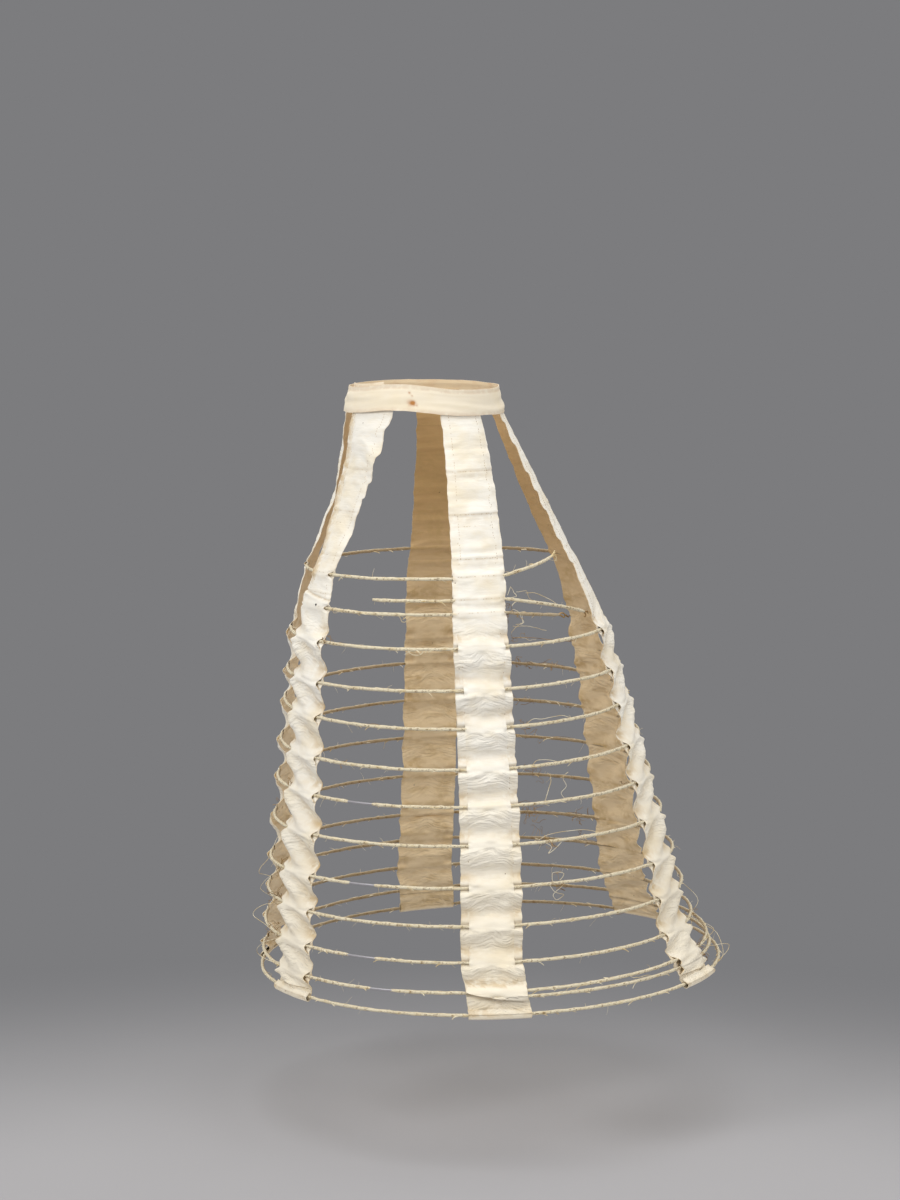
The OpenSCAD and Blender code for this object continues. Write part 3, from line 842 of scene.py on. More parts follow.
def tape_grid(tape):
    """The back layer: it hangs from the band and turns up round the lowest hoop into a casing."""
    hem = HOOP_DROP[LAST]
    down = close_rows(BAND_LOW - TAPE_TUCK, hem, tape.hoops)
    turn = np.linspace(0, math.pi, CASING_STEPS)
    up = np.linspace(0, 1, UPTURN_STEPS)[1:]
    rows, bent = len(down), len(turn)
    share = np.linspace(-1, 1, TAPE_COLUMNS)
    share = np.repeat((share * (1 + 0.14 * (1 - share ** 2)))[None, :], rows + bent + len(up), 0)
    edge = hem - CASING_H - 1.2 + 0.5 * noise(share[:1] * 4, 0.5, tape.seed + 9)
    d = np.concatenate([down[:, None] + 0 * share[:rows],
                        hem + CASING_H * np.sin(turn)[:, None] + 0 * share[:bent],
                        hem + up[:, None] * (edge - hem)])
    u = tape.columns(d, share, 0.0) + tape.ragged(d, share, False)
    face, back = tape.layers(d, u, share)
    dimple = (FACE_OUT + BACK_IN) * tape.tunnel(d, 6.5)
    margin = smoothstep(tape.bare(d) + 3 - tape.inset(d, u), 0, 3.5) * fall(d, hem - 9, hem - 4)
    hung = smoothstep(d, BAND_LOW, BAND_LOW + 12)
    off = hung * (back + margin * (face - dimple - back)) - LAYER / 2
    turned_out = CASING_OUT[tape.kind] * (1 + 0.12 * noise(u / 15, 0.5, tape.seed + 10))
    start = off[rows - 1:rows]
    half = (turned_out[rows:rows + bent] - start) / 2
    off[rows:rows + bent] = start + half * (1 - np.cos(turn)[:, None])
    last = off[rows + bent - 1:rows + bent]
    off[rows + bent:] = last + (LAYER - last) * smoothstep(up, 0, 1)[:, None]
    points = tape.place(d, u, off)
    run = run_along(points)
    cloth = np.stack([u, run[:, None] + 0 * u, 0 * u + 40 * tape.seed], -1)
    # Soil and painted shade, a little more at the very edges.
    soil = soiled(tape, d, share) + 0.2 * smoothstep(np.abs(share), 0.95, 1.0)
    # The inner faces take the browner inside colour, painted shade with stains; it fades out round the
    # casing.
    inner = np.concatenate([np.ones(rows), np.linspace(1, 0, bent) ** 2, np.zeros(len(up))])
    inside_shade_and_stain_amount = inner[:, None] + 0 * u
    # Front tapes: the inside colour is lighter in the upper part and at its edges there, and weaker low
    # down.
    if tape.kind == FRONT:
        upper = fall(d, HOOP_DROP[1], HOOP_DROP[3])
        inside_shade_and_stain_amount = inside_shade_and_stain_amount * (1 - upper * (0.1 + 0.9 * smoothstep(np.abs(share), 0.88, 0.94)))
        inside_shade_and_stain_amount = inside_shade_and_stain_amount * (0.8 + 0.2 * upper)
    # Inside: painted shadow lines along the hoops, and real stains in blots.
    lines = tape.tunnel(d, 3.2) * (0.55 + 0.45 * noise(u / 14, d / 40, tape.seed + 21))
    blots = smoothstep(noise(u / 19, d / 16, tape.seed + 22), 0.15, 0.75)
    inner_soil = np.clip(soil + 0.6 * lines + 0.4 * blots, 0, 1)
    return points, cloth, (soil, inner_soil), inside_shade_and_stain_amount, crumples(tape, d, u), run[-1]


def facing_grid(tape):
    """The facing: flush with the back layer along its sides, with a mouth over each hoop."""
    top = BAND_LOW - FACING_GAP
    front_end, back_end, stand = FACING_END.get(tape.name, PLAIN_END)
    flap = tape.name in FACING_END
    settled = HOOP_DROP[LAST_SINGLE] + 14
    rows = close_rows(top, 0.5 * (front_end + back_end), tape.hoops)
    share = np.repeat(np.linspace(-1, 1, FACING_COLUMNS)[None, :], len(rows), 0)
    end = front_end + (back_end - front_end) * (share + 1) / 2 + 2.0 * (1 - share ** 2) * flap
    end = end + 0.3 * noise(share * 3, 0.5, tape.seed + 16)
    d = rows[:, None] + 0 * share
    d = np.where(d < settled, d, settled + (d - settled) * (end - settled) / (rows[-1] - settled))
    bare = tape.bare(d)
    u = tape.columns(d, share, bare) + tape.ragged(d, share, True)
    whole = 2 * u / tape_width(tape.kind, d)
    face, _ = tape.layers(d, u, whole)
    side = smoothstep(bare + 5 - tape.inset(d, u), 0, 5)
    mouth = tape.mouth(d, share) * (0.8 + 0.2 * noise(d / 30, 5.5 * np.sign(share), tape.seed + 11))
    dimple = (FACE_OUT + BACK_IN) * tape.tunnel(d, 6.5)
    wide = MOUTH[tape.kind] * (1 + 1.5 * smoothstep(d, HOOP_DROP[PAIR_TOP] - 8, HOOP_DROP[PAIR_TOP] - 3))
    arch = mouth * (FACE_OUT + BACK_IN + 0.5 + wide)
    off = face + side * (arch - dimple) + LAYER / 2 - side * (1 - mouth) * 0.9 * LAYER
    off = off * smoothstep(d, BAND_LOW, BAND_LOW + 12)
    lift_from, lift_to = (FLAP_FROM, FLAP_FROM + 2.5) if flap else (end - 9, end)
    off = off + stand * smoothstep(d, lift_from, lift_to)
    points = tape.place(d, u, off)
    run = run_along(points)
    cloth = np.stack([u, run[:, None] + 0 * u, 0 * u + 40 * tape.seed + 20], -1)
    soil = soiled(tape, d, whole)
    # Painted shade on the rolled strip beside the pleat and in the crease.
    if tape.folded:
        pleat = fall(tape.from_fold(d, u), PLEAT_IN - 4, PLEAT_IN + 1)
        soil = soil + 0.7 * fall(d, HOOP_DROP[0], HOOP_DROP[1]) * pleat
        soil = soil + 0.45 * bell(tape.crease(d, u), 1.3)
    # The flap is kept clean; above it lies a broad band of soil and painted shade.
    if flap:
        soil = soil * fall(d, FLAP_FROM - 1, FLAP_FROM + 2)
        soil = soil + 0.5 * smoothstep(d, FLAP_FROM - 14, FLAP_FROM - 2) * (d < FLAP_FROM)
    return points, cloth, (soil, soil), np.ones_like(u), crumples(tape, d, u), run[-1], d, u


def crumples(tape, d, u):
    """Places and strength of the fine crumples, for the look of the cloth."""
    vee, strength = tape.gathers(d, u)
    return np.stack([u + 100 * tape.seed, vee, 0.06 + 0.94 * strength], -1)


def soiled(tape, d, share):
    """Soil and painted shade: soil in the seams with a band of painted shade under each, painted shade with
    soil in the hollows over the hoops, and painted shade at the pocket mouths, in the crease above the
    casing and in the valleys of the swell.
    """
    seams = np.zeros_like(d)
    for line, size in SEAMS:
        # A thin dark line at the seam's ledge, and below it a broad band of painted shade.
        strip = bell(d - line - 1.6, 0.9) + 0.45 * bell(d - line - 6, 5) * (d > line)
        seams = np.maximum(seams, SEAM_SIZE[tape.kind] * size * strip)
    hollow = np.zeros_like(d)
    for i in tape.hoops[FIRST_WHOLE:PAIR_TOP]:
        # Painted shade with soil in the hollow above each hoop.
        hollow = np.maximum(hollow, bell(HOOP_DROP[i] - 11 - d, 5.5))
    edge = smoothstep(np.abs(share), 0.35, 0.95)
    # Painted shade in the open pocket mouths.
    mouths = tape.tunnel(d, HALF_POCKET) * smoothstep(np.abs(share), 0.72, 0.95)
    # Painted shade in the crease above the casing.
    hem = bell(d - HOOP_DROP[LAST] + 7, 2.2)
    # Painted shade in the valleys of the swell.
    folds = smoothstep(-tape.swell(d, share), 0.6, 4.0)
    dirt_and_shade = 0.35 * seams + hollow * (0.12 + 0.4 * edge) + 0.2 * mouths + 0.25 * hem + 0.3 * folds
    return np.clip(dirt_and_shade, 0, 1)


def cloth_piece(name, grid, nodes):
    """A closed sheet of cotton from a grid of middle points."""
    points, cloth, soils, inner, crumple, length = grid[:6]
    normals = surface_normals(points)
    batch = Batch()
    verts, faces = slab(points, normals, TAPE_T)
    # Outer side plain, inner side with the inside colour's painted shade and stains.
    lining = np.concatenate([np.zeros(inner.size), inner.ravel()])
    soil = np.concatenate([part.ravel() for part in soils])
    flat = np.concatenate([cloth.reshape(-1, 3)] * 2)
    batch.take(verts, faces, cloth=flat, soil=soil, lining=lining,
               crumple=np.concatenate([crumple.reshape(-1, 3)] * 2))
    piece = batch.piece(name, TAPE_COTTON, "cotton", nodes)
    return points, normals


# Stitches: length, gap and radius of the thread, and the shares that are left down the upper and the lower
# facing, in the seams and in the pleat
STITCH = 1.7
STITCH_GAP = 1.3
STITCH_R = 0.17
KEPT_UPPER = 0.8
KEPT_LOWER = 0.12
KEPT_SEAM = 0.45
KEPT_PLEAT = 0.6


def stitch_line(batch, points, normals, kept, rng):
    """A row of short thread stitches along a line of points on the cloth, some of them lost."""
    run = np.concatenate([[0], np.cumsum(np.linalg.norm(np.diff(points, axis=0), axis=1))])
    at = 0.4
    while at + STITCH < run[-1]:
        if rng.random() < kept:
            along = np.linspace(at, at + STITCH, 4)
            line = np.stack([np.interp(along, run, points[:, k]) for k in range(3)], -1)
            out = np.stack([np.interp(along, run, normals[:, k]) for k in range(3)], -1)
            rise = np.array([-0.15, 0.1, 0.1, -0.15])[:, None]
            batch.rod(line + out * (TAPE_T / 2 + rise), STITCH_R, 4)
        at += STITCH + STITCH_GAP


# Worn hole in the left front tape, shown by a disc of painted shade: drop, place across and radius
HOLE = (215.0, 10.0, 1.5)


def painted_hole_shade(points, normals, d, u):
    """The shade in a small worn hole, painted as a thin uneven dark disc let into the facing."""
    drop, across, size = HOLE
    row, column = np.unravel_index(np.argmin((d - drop) ** 2 + (u - across) ** 2), d.shape)
    middle = points[row, column]
    out = normals[row, column]
    side = points[row, column + 1] - points[row, column - 1]
    side = side / np.linalg.norm(side)
    down = np.cross(out, side)
    count = 12
    turn = np.arange(count) * math.tau / count
    ring_of = np.outer(np.cos(turn), side) * size + np.outer(np.sin(turn), down) * 0.8 * size
    ring_of = ring_of * (1 + 0.15 * np.sin(3 * turn))[:, None]
    top = middle + ring_of + out * (TAPE_T / 2 + 0.25)
    low = middle + ring_of - out * 0.2
    faces = [list(range(count))[::-1], list(range(count, 2 * count))]
    faces += [[k, (k + 1) % count, (k + 1) % count + count, k + count] for k in range(count)]
    batch = Batch()
    batch.take(np.concatenate([top, low]), faces)
    batch.piece("painted_hole_shade", HOLE_SHADE_PAINT, "cotton")


def tape_stitches(tape, points, normals, d, u):
    """Stitches down both edges of a facing, thinning out below the top hoop, and across it in the seams."""
    rng = random.Random(tape.seed + 40)
    batch = Batch()
    rows = d[:, FACING_COLUMNS // 2]
    clear = tape.tunnel(rows, POCKET_H) < 0.1
    breaks = np.flatnonzero(np.diff(clear.astype(int))) + 1
    for edge in (0, -1):
        wanted = u[:, edge] - np.sign(u[:, edge]) * (MARGIN - tape.bare(rows) + 0.8)
        column = np.argmin(np.abs(u - wanted[:, None]), 1)
        for part in np.split(np.arange(len(rows)), breaks):
            if clear[part[0]] and len(part) > 3:
                kept = KEPT_UPPER if rows[part[0]] < HOOP_DROP[2] else KEPT_LOWER
                stitch_line(batch, points[part, column[part]], normals[part, column[part]], kept, rng)
    for seam, _ in SEAMS:
        row = int(np.argmin(np.abs(rows - seam - 1.5)))
        stitch_line(batch, points[row, 2:-2], normals[row, 2:-2], KEPT_SEAM * SEAM_SIZE[tape.kind], rng)
    if tape.folded:
        line = [int(np.argmin(np.abs(tape.from_fold(rows[row], u[row]) - PLEAT_IN)))
                for row in range(int(np.sum(rows < HOOP_DROP[1])))]
        steps = np.arange(len(line))
        stitch_line(batch, points[steps, line], normals[steps, line], KEPT_PLEAT, rng)
        painted_hole_shade(points, normals, d, u)
    batch.piece(tape.name + "_stitches", SEWING_THREAD, "thread")


TAPES = [Tape(kind, hand) for kind in (FRONT, SIDE, BACK) for hand in (LEFT, RIGHT)]
SAMPLED = np.arange(BAND_LOW, HOOP_DROP[LAST], 20.0)
for tape in TAPES:
    mean_w = CUT_W if tape.folded else float(np.mean(tape_width(tape.kind, SAMPLED)))
    cloth_piece(tape.name + "_tape_cloth", tape_grid(tape), [tape.name + "_tape"])
    facing = facing_grid(tape)
    facing_w = mean_w - 2 * float(np.mean(tape.bare(SAMPLED)))
    outer, out_normals = cloth_piece(tape.name + "_facing_cloth", facing, [tape.name + "_facing"])
    tape_stitches(tape, outer, out_normals, facing[6], facing[7])


# Waistband

# The band rides up a little on the left side
HIP_LIFT = 7.5
HIP_ANGLE = 64.0
HIP_SPREAD = 34.0


def band_point(z, a, depth):
    r = band_r(z) - depth
    hip = (a + 180) % 360 - 180
    lift = HIP_LIFT * bell(hip - HIP_ANGLE, HIP_SPREAD)
    return np.stack([r * np.sin(np.radians(a)), -r * np.cos(np.radians(a)), z + lift], -1)


def band_strip(batch, angles, rows, depth, thickness, rise, seed, closed):
    """A creased strip of doubled cotton, once round or part of the way."""
    a, share = np.meshgrid(angles, np.linspace(0, 1, rows))
    a = a[::-1]
    share = share[::-1]
    run = np.radians(a) * BAND_TOP_R
    edge = np.abs(2 * share - 1)
    waver = 0.7 * noise(run / 37, share * 0.5, seed) + 0.25 * noise(run / 9, share * 0.5, seed + 1)
    z = -BAND_LOW + share * BAND_H + rise + waver * edge
    drift = 0.22 * noise(run / 70, 0.5, seed + 4)
    folds = 1.5 * noise(run / 120 + share * 0.4, (share + drift) * 3.6, seed + 2)
    folds = folds + 0.45 * noise(run / 45, (share + drift) * 7, seed + 3)
    hem = bell(share - 0.87, 0.03) + 0.3 * bell(share - 0.08, 0.03)
    middle = depth + thickness / 2 - 0.75 * folds * (1 - edge ** 4) + 0.55 * hem
    bulge = thickness * (1 - 0.5 * edge ** 6)
    outer = band_point(z, a, middle - bulge / 2)
    inner = band_point(z, a, middle + bulge / 2)
    cols = len(angles)
    count = rows * cols
    ids = np.arange(count).reshape(rows, cols)
    faces = [grid_faces(rows, cols), grid_faces(rows, cols, count, True)]
    if closed:
        for k, flip in ((0, False), (count, True)):
            seam = np.stack([ids[:-1, -1], ids[1:, -1], ids[1:, 0], ids[:-1, 0]], -1) + k
            faces.append(seam[:, ::-1] if flip else seam)
        for row, flip in ((0, False), (rows - 1, True)):
            loop = np.append(ids[row], ids[row, 0])
            rim = edge_faces(loop, loop + count)
            faces.append(rim[:, ::-1] if flip else rim)
    else:
        rim = rim_of(ids)
        faces.append(edge_faces(rim, rim + count))
    verts = np.concatenate([outer.reshape(-1, 3), inner.reshape(-1, 3)])
    cloth = np.stack([run.ravel(), z.ravel(), np.full(count, 5.0 * seed)], -1)
    # Soil and painted shade: a painted shadow line just under the top fold and a fainter one near the
    # bottom, darker upper and lower edges, and rust over the hook on the outer strip.
    soil = (0.3 * hem + 0.25 * edge ** 6 + rust_marks(run, z) * (0 if rise else 1)).ravel()
    # The inner face takes 0.6 of the browner inside colour, painted shade with stains, and a fifth of the
    # soil.
    batch.take(verts, np.concatenate(faces), cloth=np.concatenate([cloth] * 2),
               soil=np.concatenate([soil, 0.2 * soil]), lining=np.repeat([0.0, 0.6], count))


# Rust marks on the outside of the band, over the hook: angle, height, size and strength
RUST_MARKS = ((73.5, -5.0, 2.4, 1.5), (75.5, -7.0, 1.6, 1.4), (70.5, 5.5, 1.2, 1.0), (72.5, 2.5, 1.0, 0.9),
              (71.0, -5.2, 3.2, 0.6))


def rust_marks(run, z):
    """Strength of the rust at places along and up the band."""
    marks = np.zeros_like(run)
    for a, height, size, strength in RUST_MARKS:
        away = (run - math.radians(a) * BAND_TOP_R) ** 2 + (z - height) ** 2
        marks = marks + strength * np.exp(-away / size ** 2)
    return marks


def waistband():
    """The band once round, and its inner end lapping under."""
    batch = Batch()
    angles = np.arange(BAND_COLUMNS) * 360 / BAND_COLUMNS
    band_strip(batch, angles, BAND_ROWS, 0.0, BAND_T, 0.0, 51, True)
    lapped = np.linspace(LAP_FROM, LAP_TO, LAP_COLUMNS)
    band_strip(batch, lapped, LAP_ROWS, LAP_IN, LAP_T, LAP_RISE, 61, False)
    piece = batch.piece("waistband_cloth", BAND_COTTON, "cotton", ["waistband"])


waistband()


# Hoops


def hoop_span(i):
    """Angles at which hoop i starts and ends, inside a pocket or at a break."""
    d = HOOP_DROP[i]
    joint = degrees_of(0.6, d)
    if i < BROKEN:
        start = (-tape_angle(BACK, d), FRONT_BREAK, tape_angle(FRONT, d))[i]
        return start, BACK_BREAK[i]
    if i == PAIR_LOW:
        return tape_angle(SIDE, d), 360 - tape_angle(BACK, d)
    if i in LOST:
        return -tape_angle(FRONT, d), 360 - tape_angle(BACK, d)
    return -tape_angle(BACK, d) + joint, 360 - tape_angle(BACK, d) - joint


def hoop_parts(i):
    start, end = hoop_span(i)
    if i in BARE:
        return [(start, BARE[i][0]), (BARE[i][1], end)]
    return [(start, end)]


def hoop_line(i, angles):
    """Middle line of hoop i. The free ends of the top three bend up or down beyond the side pocket."""
    d = HOOP_DROP[i]
    rise = 0 * angles
    run = np.radians(angles) * cage_r(d)
    shift = 0.3 * noise(run / 55, 0.5, 70 + i)
    wander = 0.35 * noise(run / 45, 3.5, 70 + i)
    if i < BROKEN:
        mouth = tape_angle(SIDE, d) + degrees_of(tape_width(SIDE, d) / 2 - MARGIN - 1.2, d)
        beyond = np.maximum(np.radians(angles - mouth) * cage_r(d), 0)
        ease = beyond * smoothstep(beyond, -6, 26)
        whole = math.radians(BACK_BREAK[i] - mouth) * cage_r(d)
        rise = math.tan(math.radians(BACK_RISE[i])) * ease + TIP_BEND[i] * (beyond / whole) ** 2.5
        lean = (cage_r(d + 1) - cage_r(d - 1)) / 2
        shift = shift - lean * rise
    return ring(i, angles, shift, rise + wander)


# The hoop whose broken stretch is brown with dirt, and the angles over which the brown sets in
DIRTY = (2, 98.0, 108.0)


def covered(i, a):
    """Whether a hoop runs through a tape at an angle."""
    d = HOOP_DROP[i]
    for tape in TAPES:
        away = (a - tape.hand * tape_angle(tape.kind, d) + 180) % 360 - 180
        if abs(away) < degrees_of(tape_width(tape.kind, d) / 2 + 2, d):
            return True
    return False


def hoop_cover(i):
    """The wound thread of one hoop, lumpy and worn thin at its ends."""
    batch = Batch()
    sides = HOOP_SIDES
    for part, (start, end) in enumerate(hoop_parts(i)):
        length = math.radians(end - start) * cage_r(HOOP_DROP[i])
        angles = np.linspace(start, end, max(int(length / RING_STEP), 8))
        line = hoop_line(i, angles)
        run = np.radians(angles - start) * cage_r(HOOP_DROP[i])
        turn = np.arange(sides)
        lumps = 0.2 * noise(run[:, None] / 4.5, turn * 0.45, 90 + i)
        lumps = lumps + 0.1 * noise(run[:, None] / 13, 0.5, 130 + i)
        bare = np.array([0.0 if covered(i, a) else 1.0 for a in angles])
        radii = (HOOP_R - POCKET_THINNER + SHOWN_THICKER * bare[:, None]) * (1 + lumps)
        thin = np.minimum(run, run[-1] - run)
        radii = radii * (0.72 + 0.28 * smoothstep(thin, 0, 5))[:, None]
        verts, faces = tube(line, radii, sides)
        outward = line * np.array([1.0, 1.0, 0.0]) - np.array([0, back_of(HOOP_DROP[i]), 0])
        outward /= np.linalg.norm(outward, axis=1, keepdims=True)
        facing_in = -np.einsum("rsk,rk->rs", verts.reshape(len(line), sides, 3) - line[:, None, :], outward)
        # Browner on the side that faces the cage's axis: painted shade with dirt.
        lining = smoothstep(facing_in / HOOP_R, -0.4, 0.9)
        if i == DIRTY[0]:
            lining = np.maximum(lining, 0.75 * smoothstep(angles, *DIRTY[1:])[:, None])
        wound = np.stack([run[:, None] + WIND_PITCH * turn[None, :] / sides + 31.0 * i,
                          np.repeat(3.0 * np.cos(turn * math.tau / sides)[None, :], len(run), 0),
                          np.full((len(run), sides), 7.0 * part)], -1)
        batch.take(verts, faces, wound=wound.reshape(-1, 3), lining=lining.ravel())
    name = f"hoop_{i + 1:02d}"
    nodes = [name + "_cover"] + ([name + "_wire"] if i < BROKEN else [])
    batch.piece(name + "_winding", WOUND_THREAD, "thread", nodes)


for index in range(LAST + 1):
    hoop_cover(index)


# Fray and loose threads


# Loosened turns and finer hairs: least and most length, least and most radius, how far they stand off and
# how wildly they bend, and sides of the rod. Then the share of loosened turns and the least and most gap
LOOSENED = (3.5, 8, 0.45, 0.8, 0.3, 0.2, 5)
HAIR = (2, 8, 0.12, 0.22, 0.9, 0.6, 4)
LOOSENED_SHARE = 0.55
FRAY_GAP = (3, 17)


def curl(start, middle, end):
    t = np.linspace(0, 1, 6)[:, None]
    return (1 - t) ** 2 * start + 2 * t * (1 - t) * middle + t * t * end


def hoop_axes(i, a):
    """Directions at an angle on a hoop: along it, away from the cage and up."""
    here, ahead = ring(i, np.array([a, a + 0.5]))
    outward = ring(i, np.array([a]), 1.0)[0] - here
    return (ahead - here) / np.linalg.norm(ahead - here), outward, np.array([0.0, 0.0, 1.0])


def thread_point(i, a, rise, reach):
    _, outward, up = hoop_axes(i, a)
    return hoop_line(i, np.array([a]))[0] + reach * outward + rise * up


def toss(rng):
    """A random way, up to 1 along each axis."""
    return np.array([rng.uniform(-1, 1) for _ in range(3)])


def fibre(batch, rng, i, a):
    """A loosened turn of the winding or a hair, on hoop i at an angle."""
    along, outward, up = hoop_axes(i, a)
    around = rng.uniform(0, math.tau)
    lean = rng.uniform(-1.2, 1.2)
    stand = math.cos(around) * outward + math.sin(around) * up
    loosened = rng.random() < LOOSENED_SHARE
    short, long, thin, thick, off, wild, sides = LOOSENED if loosened else HAIR
    length = rng.uniform(short, long)
    heading = stand * off + along * (math.copysign(1.0, lean) if loosened else lean)
    heading /= np.linalg.norm(heading)
    foot = hoop_line(i, np.array([a]))[0] + stand * (HOOP_R - 0.5)
    bend = toss(rng) * wild * length - up * 0.1 * length
    tip = foot + heading * length + bend - up * 0.15 * length
    radius = rng.uniform(thin, thick)
    line = curl(foot, foot + heading * 0.6 * length, tip)
    batch.rod(line, np.linspace(radius, 0.5 * radius, len(line)), sides)


def frayed_hairs():
    """Short fibres and loosened turns that stand off the hoops."""
    rng = random.Random(11)
    batch = Batch()
    for i in range(LAST + 1):
        for start, end in hoop_parts(i):
            a = start + 1.0
            while a < end - 1.0:
                if not covered(i, a):
                    fibre(batch, rng, i, a)
                a += degrees_of(rng.uniform(*FRAY_GAP), HOOP_DROP[i])
    batch.piece("frayed_hairs", FRAY_THREAD, "thread")


frayed_hairs()

# Loose threads: each a list of hoop, angle, rise above the hoop and reach outside it
LOOPS = (
    ((1, 106.5, 4, 1), (1, 107.3, 13, 2), (1, 109, 10, 2), (1, 109.8, 4, 2), (1, 108.5, 2, 1)),
    ((1, 110, 9, 2), (1, 112, 11, 3), (1, 114.3, 11, 2), (1, 115, 6, 2), (1, 116.5, 3, 2), (1, 118.5, 2, 1)),
    ((1, 114, 9, 2), (1, 118, 10, 2), (1, 122, 8, 2), (1, 126, 5, 1), (1, 130, 0, 1)),
    ((2, 106, 0, 1), (2, 107.5, 4, 2), (2, 109, 2, 2), (2, 110.5, -5, 2), (2, 111, -10, 3),
     (2, 108, -12, 3)),
    ((2, 111, -1, 1), (2, 111.5, -8, 2), (2, 109.5, -12, 3), (2, 107.5, -16, 3), (2, 106.5, -22, 2)),
    ((2, 107, -14, 2), (2, 109.5, -14, 3), (2, 112, -12, 2), (2, 117, -15, 1), (2, 122, -17, 1)),
    ((2, 63, 0, 1), (2, 64, -5, 2), (2, 65.5, -8, 2), (2, 67, -4, 2), (2, 67, 0, 1)),
    ((2, 33, -1, 1), (2, 35, 3, 2), (2, 37, 1, 3), (2, 39, 2, 2)),
    ((2, 32, 1, 1), (2, 34.5, -3, 2), (2, 36.5, -1, 3), (2, 38.5, -2, 2)),
    ((3, 66, 0, 1), (3, 68, -5, 2), (3, 70.5, -6, 2), (3, 72, -1, 1)),
    ((8, 16, 2, 2), (8, 12, -10, 6), (9, 10, 12, 10), (9, 13, 4, 4), (9, 16, 0, 1)),
    ((9, 14, 0, 1), (9, 9, -12, 10), (10, 6, 8, 14), (10, 10, 2, 5), (10, 15, 0, 1)),
    ((10, 16, 0, 1), (10, 8, -8, 12), (11, 4, 14, 18), (11, 9, 6, 8), (11, 18, 0, 1)),
    ((11, 17, 0, 1), (11, 10, -12, 12), (12, 5, 4, 12), (12, 12, 0, 2)),
    ((9, 338, 0, 1), (9, 344, -14, 8), (10, 348, 10, 12), (10, 342, 0, 3)),
    ((11, 161.5, 0, 1), (11, 165, -9, 7), (12, 163, 8, 9), (12, 157, 3, 4), (12, 155, 0, 1)),
    ((11, 159, 0, 1), (11, 166, -14, 11), (13, 168, 6, 10), (14, 160, 6, 6), (14, 157, 0, 1)),
    ((10, 163, 0, 1), (10, 168, -10, 6), (11, 166, 12, 8), (11, 160, 0, 1)),
    ((12, 154, 0, 1), (12, 160, -8, 12), (14, 164, 12, 12), (14, 158, 2, 3)),
    ((4, 239, 0, 0), (4, 236, 1, 1), (4, 232, -1, 0), (4, 229, 0, 0)),
    ((5, 104, 2, 1), (5, 106, 7, 2), (5, 110, 5, 2), (5, 116, 7, 2), (5, 121, 2, 1)),
    ((6, 103, 1, 1), (6, 105, 6, 2), (6, 110, 4, 2), (6, 114, 1, 1)),
    ((7, 105, 1, 1), (7, 106, 12, 2), (7, 107, 26, 2), (7, 106, 32, 1)),
    ((7, 112, 1, 1), (7, 110.5, 9, 2), (7, 112, 16, 3), (7, 111, 24, 2), (7, 113, 30, 1)),
    ((8, 101, 3, 1), (8, 104, 8, 2), (8, 109, 9, 2), (8, 116, 8, 2), (8, 121, 2, 1)),
    ((8, 103, -1, 1), (8, 105, -7, 2), (8, 103.5, -12, 2), (8, 106, -9, 2), (8, 108, -2, 1)),
    ((9, 102, 0, 1), (9, 103, -8, 3), (9, 106, -13, 3), (9, 104, -18, 2), (9, 103, -11, 2), (9, 106, -3, 1)),
    ((9, 103, 2, 1), (9, 102.5, 10, 2), (9, 104, 13, 3), (9, 106, 9, 2), (9, 105, 3, 1)),
    ((12, 118, 1, 1), (12, 121, -4, 3), (12, 125, -5, 3), (13, 127, 1, 1)),
    ((13, 138, 0, 1), (13, 140, -6, 3), (13, 143, -3, 2), (13, 143, 1, 1)),
)
# Knots of fine thread: hoop, angle, reach in millimetres and number of strands
KNOTS = ((2, 109, 8, 5), (4, 237, 8, 3), (5, 238, 10, 6), (6, 239, 9, 5), (7, 239, 9, 4), (8, 240, 12, 5),
         (9, 241, 14, 9), (10, 241, 12, 6), (5, 228, 9, 4), (6, 222, 8, 3), (9, 226, 10, 4), (10, 228, 8, 3),
         (9, 104, 9, 4), (8, 104, 7, 3), (5, 104, 6, 3), (12, 150, 8, 4), (13, 152, 8, 4), (11, 161, 10, 5),
         (10, 10, 10, 5), (11, 8, 10, 5), (9, 12, 8, 4), (7, 14, 7, 3), (8, 340, 9, 4), (11, 335, 9, 4),
         (10, 200, 10, 5), (9, 202, 9, 4), (8, 203, 8, 3), (11, 199, 10, 4), (3, 34, 6, 3), (6, 42, 5, 2))


def through(points, steps):
    """Smooth line through the given points."""
    points = np.array(points, float)
    ends = np.concatenate([[2 * points[0] - points[1]], points, [2 * points[-1] - points[-2]]])
    t = np.linspace(0, 1, steps)[:-1, None]
    line = []
    for a, b, c, e in zip(ends, ends[1:], ends[2:], ends[3:]):
        line.append(b + t * (c - a) / 2 + t ** 2 * (a - 2.5 * b + 2 * c - e / 2)
                    + t ** 3 * (1.5 * b - a / 2 - 1.5 * c + e / 2))
    return np.concatenate(line + [points[-1:]])


def crinkled(line, rng, size):
    """The line, with a small uneven crinkle that dies out at its ends."""
    count = len(line)
    shake = np.zeros_like(line)
    for k in (3, 5, 8):
        for axis in range(3):
            shake[:, axis] += rng.uniform(-1, 1) / k * np.sin(np.linspace(0, k * math.pi, count))
    return line + 3 * size * shake


# Strands that have come away along a hoop: hoop, from and to angle, and rise above it
TRAILS = ((4, 206, 239, 2.5), (5, 212, 240, 3.5), (6, 205, 238, -2.5), (7, 214, 239, 3), (8, 208, 240, -3),
          (9, 200, 241, 4), (9, 206, 236, -5), (10, 202, 242, 3.5), (5, 318, 338, 2.5), (6, 314, 336, 3),
          (7, 310, 334, -3), (8, 316, 332, 3), (9, 312, 334, 4), (10, 306, 336, -3), (3, 36, 46, 3),
          (5, 46, 62, 3), (8, 50, 66, 3), (10, 118, 128, -4), (3, 122, 136, -4), (7, 118, 132, -3))


